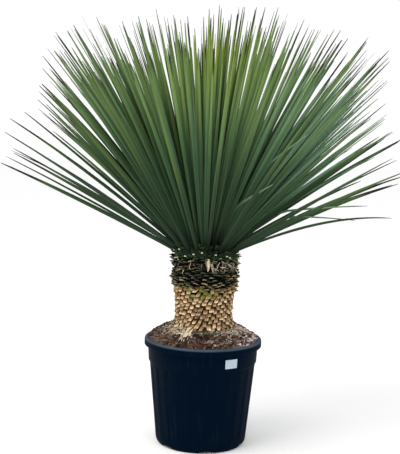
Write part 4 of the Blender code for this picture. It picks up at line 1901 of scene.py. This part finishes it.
    def stubs(self) -> bpy.types.Object:
        """Models the ring of cut leaves under the crown.

        Returns:
            The ring, as one piece.
        """
        rng = random.Random(self.seed + 2)
        blank = self.stub_blank()
        flat = Bench.points_of(blank)
        copies = Copies("cut_leaf_ends")
        for turn, height, tone in self.stub_places():
            rise = height - self.stub_foot
            plain = between(*self.stub_leans, rise / self.stub_height)
            lean = math.radians(plain + rng.uniform(-self.stub_tilt, self.stub_tilt))
            if tone >= self.pale_tone:
                length, wide, thick, past = self.fresh_cut
            else:
                length, wide, thick, past = (rng.uniform(*span) for span in self.old_cut)
            end = self.heart_radius * self.stub_radius - self.stub_slope * rise + past
            back = (flat[:, 1] - 1.0) * length
            out = end + back * math.sin(lean) - flat[:, 2] * thick * math.cos(lean)
            up = height + back * math.cos(lean) + flat[:, 2] * thick * math.sin(lean)
            copies.add(blank, turned_points(turn, out, flat[:, 0] * wide, up), tone)
        return copies.join()

    def build(self) -> None:
        """Models and dresses the crown."""
        hand_over(self.leaves(), Slot.LEAVES, LeafSkin().material(), "leaf_crown")
        hand_over(self.stubs(), Slot.LEAVES, PaleFlesh().material())


# Straw and moss


@dataclass
class Litter:
    """Dead fibre round the trunk's foot and along the band, and moss on the soil."""

    soil: Soil
    band: Band
    straw_count: int = 560
    straw_from: float = 0.086
    straw_spread: float = 0.040
    straw_power: float = 1.3
    straw_slope: float = 0.008
    straw_aim: float = 62.0
    # the ranges of a short straw's length and width
    straw_sizes: tuple[Pair, ...] = ((0.008, 0.022), (0.0010, 0.0028))
    straw_thickness: float = 0.0007
    straw_lifts: Pair = (0.008, 0.026)
    straw_gaps: Pair = (0.0010, 0.0035)
    # mats of straw: the angle of each round the trunk, and its spread
    mats: tuple[Pair, ...] = (
        (-142.0, 9.0), (-130.0, 9.0), (-150.0, 12.0), (-28.0, 10.0), (-16.0, 18.0), (90.0, 70.0),
    )
    long_mat: Pair = (-112.0, 5.0)
    long_aim: Pair = (-122.0, 10.0)
    long_every: int = 40
    long_first: int = 7
    # the ranges of a long straw's start, length and width
    long_sizes: tuple[Pair, ...] = ((0.096, 0.112), (0.036, 0.048), (0.0030, 0.0045))
    shred_count: int = 84
    # the ranges of a shred's top, length and width
    shred_sizes: tuple[Pair, ...] = ((0.562, 0.600), (0.008, 0.019), (0.0012, 0.0028))
    shred_mat: Pair = (-45.0, 22.0)
    left_shreds: Pair = (-170.0, -95.0)
    back_shreds: Pair = (0.0, 190.0)
    shred_slants: Pair = (-0.9, 0.7)
    slant_spread: float = 0.4
    shred_curls: Pair = (0.004, 0.011)
    shred_tones: Pair = (0.0, 0.75)
    shred_lift: float = 0.004
    shred_thickness: float = 0.0008
    broad_length: float = 0.027
    broad_width: float = 0.0085
    # the broad hanging piece in strips: the angle of each, its top and its slant
    broad_strips: tuple[tuple[float, float, float], ...] = (
        (-88.0, 0.601, 0.10), (-85.0, 0.600, 0.05), (-83.0, 0.590, -0.15), (-79.0, 0.586, 0.2),
    )
    moss_count: int = 260
    moss_mat: Pair = (-80.0, 16.0)
    moss_ring: Pair = (0.098, 0.116)
    moss_sizes: Pair = (0.0014, 0.0036)
    moss_height: float = 0.7
    seed: int = SEED + 6

    def strip_blank(self) -> bpy.types.Mesh:
        """A thin strip of dead leaf of unit size, along +Y.

        Returns:
            The blank.
        """
        piece = Bench.strip(1, 6)
        Bench.apply(piece, "SOLIDIFY", thickness=1.0, offset=0.0)
        mesh = piece.data
        Bench.round_off(piece, 50.0)
        points = Bench.points_of(mesh)
        share = np.clip(points[:, 1], 0.0, 1.0)
        Bench.mark(mesh, along=share, across=points[:, 0])
        points[:, 0] *= 1.0 - 0.7 * share**2
        points[:, 2] *= 1.0 - 0.5 * share
        Bench.move_points(mesh, points)
        return Bench.blank_from(piece, mirrored=True)

    def straw(self) -> bpy.types.Object:
        """Fibres that leave the trunk's foot and lie out over the soil, mostly front left and right.

        Returns:
            The fibres, as one piece.
        """
        rng = random.Random(self.seed)
        blank = self.strip_blank()
        flat = Bench.points_of(blank)
        copies = Copies("straw_fibres")
        for index in range(self.straw_count):
            is_long = index % self.long_every == self.long_first
            turn = math.radians(rng.gauss(*(self.long_mat if is_long else self.mats[index % len(self.mats)])))
            if is_long:
                aim = math.radians(rng.gauss(*self.long_aim))
                start, length, wide = (rng.uniform(*span) for span in self.long_sizes)
            else:
                aim = turn + math.radians(rng.gauss(0.0, self.straw_aim))
                start = self.straw_from + self.straw_spread * rng.random() ** self.straw_power
                length, wide = (rng.uniform(*span) for span in self.straw_sizes)
            lift = rng.uniform(*self.straw_lifts) * math.exp(-(start - self.straw_from) / self.straw_slope)
            thick = flat[:, 2] * self.straw_thickness
            points = turned_points(aim, flat[:, 1] * length, flat[:, 0] * wide, thick)
            points += (*spot(start, turn), 0.0)
            ground = np.array([self.soil.height_at(x, y) for x, y, _ in points])
            points[:, 2] += ground + rng.uniform(*self.straw_gaps) + lift * (1.0 - flat[:, 1]) ** 2.2
            copies.add(blank, points, 1.0 if is_long else rng.random())
        return copies.join()

    def shred_places(self) -> Iterator[tuple[float, float, float, float, float]]:
        """Where the shreds hang: first the strips of the broad hanging piece, then the rest.

        Returns:
            The angle of each in degrees, its top, length and width, and its slant in radians.
        """
        rng = random.Random(self.seed + 1)
        for angle, top, slant in self.broad_strips:
            yield angle, top, self.broad_length, self.broad_width, slant
        for index in range(self.shred_count):
            if index % 5 > 1:
                angle = rng.gauss(*self.shred_mat)
            elif index % 5:
                angle = rng.uniform(*self.left_shreds)
            else:
                angle = rng.uniform(*self.back_shreds)
            slant = rng.choice(self.shred_slants) + rng.gauss(0.0, self.slant_spread)
            top, length, wide = (rng.uniform(*span) for span in self.shred_sizes)
            yield angle, top, length, wide, slant

    def shreds(self) -> bpy.types.Object:
        """Torn pale strips that hang from the upper band, most of them on its right.

        Returns:
            The shreds, as one piece.
        """
        rng = random.Random(self.seed + 3)
        blank = self.strip_blank()
        flat = Bench.points_of(blank)
        copies = Copies("torn_shreds")
        for angle, height, length, wide, slant in self.shred_places():
            curl = rng.uniform(*self.shred_curls)
            out = self.band.radius_at(height) + self.shred_lift + curl * np.sin(flat[:, 1] * 2.0)
            out = out + flat[:, 2] * self.shred_thickness
            across = flat[:, 0] * wide * math.cos(slant) + flat[:, 1] * length * math.sin(slant)
            up = height - flat[:, 1] * length * math.cos(slant) + flat[:, 0] * wide * math.sin(slant)
            points = ring_points(out, math.radians(angle) + across / out, up)
            copies.add(blank, points, rng.uniform(*self.shred_tones))
        return copies.join()

    def moss(self) -> bpy.types.Object:
        """Cushions of moss on the soil in front of the trunk, and a few elsewhere.

        Returns:
            The moss, as one piece.
        """
        rng = random.Random(self.seed + 2)
        piece = Bench.start(bpy.ops.mesh.primitive_uv_sphere_add, segments=8, ring_count=5, radius=1.0)
        with Bench.editing(piece):
            bpy.ops.mesh.select_all(action="SELECT")
            bpy.ops.transform.vertex_random(offset=0.22, seed=5)
        Bench.round_off(piece, 60.0)
        blank = Bench.blank_from(piece)
        flat = Bench.points_of(blank)
        copies = Copies("moss_cushions")
        for index in range(self.moss_count):
            turn = math.radians(rng.gauss(*self.moss_mat) if index % 4 else rng.uniform(0.0, 360.0))
            x, y = spot(rng.uniform(*self.moss_ring), turn)
            size = rng.uniform(*self.moss_sizes)
            points = flat * (size, size, size * self.moss_height) + (x, y, self.soil.height_at(x, y))
            copies.add(blank, points, rng.random())
        return copies.join()

    def build(self) -> None:
        """Models and dresses the litter."""
        straw = Straw().material()
        hand_over(self.straw(), Slot.TRUNK, straw)
        hand_over(self.shreds(), Slot.OLD_BASES, straw)
        hand_over(self.moss(), Slot.SOIL, Moss().material())


# Studio


@dataclass
class Studio:
    """The plain pale floor, the soft light and the camera at the photograph's angle."""

    camera_place: tuple[float, float, float] = (0.0, -EYE_DISTANCE, EYE_HEIGHT)
    pitch: float = 6.83
    roll: float = 1.58
    lens: float = 81.63
    shift: float = -0.01333
    light_aim: tuple[float, float, float] = (0.0, 0.0, 0.8)
    floor_size: float = 30.0
    floor_height: float = -0.0002
    sky: Colour = (1.0, 1.0, 1.0)
    sky_strength: float = 1.02

    def floor(self) -> None:
        """Lays the floor, just under the pot."""
        place = (0.0, 0.0, self.floor_height)
        floor = Bench.start(bpy.ops.mesh.primitive_plane_add, size=self.floor_size, location=place)
        floor.name = "floor"
        floor.data.materials.append(PaleFloor().material())

    def light(self, name: str, place: Vector, size: float, watts: float, colour: Colour) -> None:
        """Hangs one soft square light that faces the middle of the crown.

        Args:
            name: The light's name.
            place: Where it hangs.
            size: The length of its side.
            watts: Its power.
            colour: Its colour.
        """
        data = bpy.data.lights.new(name, "AREA")
        data.size = size
        data.energy = watts
        data.color = colour
        lamp = bpy.data.objects.new(name, data)
        lamp.location = place
        lamp.rotation_euler = (Vector(self.light_aim) - place).to_track_quat("-Z", "Y").to_euler()
        bpy.context.scene.collection.objects.link(lamp)

    def world(self) -> None:
        """Sets the pale surroundings."""
        world = bpy.data.worlds.new("surroundings")
        world.use_nodes = True
        background = world.node_tree.nodes["Background"]
        background.inputs["Color"].default_value = (*self.sky, 1.0)
        background.inputs["Strength"].default_value = self.sky_strength
        bpy.context.scene.world = world

    def camera(self) -> None:
        """Sets the camera where the photograph was taken from."""
        data = bpy.data.cameras.new("camera")
        data.lens = self.lens
        data.shift_x = self.shift
        camera = bpy.data.objects.new("camera", data)
        pitched = Matrix.Rotation(math.radians(90.0 - self.pitch), 4, "X")
        rolled = Matrix.Rotation(math.radians(self.roll), 4, "Z")
        camera.matrix_world = Matrix.Translation(self.camera_place) @ pitched @ rolled
        bpy.context.scene.collection.objects.link(camera)
        bpy.context.scene.camera = camera

    def build(self) -> None:
        """Sets up the studio."""
        self.floor()
        self.world()
        self.light("key", Vector((-1.8, -1.2, 3.4)), 2.4, 80.0, (1.0, 0.98, 0.93))
        self.light("fill", Vector((2.4, -2.6, 1.6)), 2.0, 18.0, (0.92, 0.96, 1.0))
        self.camera()
        bpy.context.scene.view_settings.view_transform = "Standard"
        LOG.info("studio: set")


def main() -> None:
    """Builds the whole scene."""
    logging.basicConfig(level=logging.INFO, format="%(message)s")
    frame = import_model()
    Studio().build()
    Pot().build()
    Label().dress(frame["nodes"]["label"])
    soil = Soil()
    soil.build()
    trunk = Trunk()
    trunk.build()
    band = Band(trunk)
    band.build()
    Crown().build()
    Litter(soil, band).build()


if __name__ == "__main__":
    main()
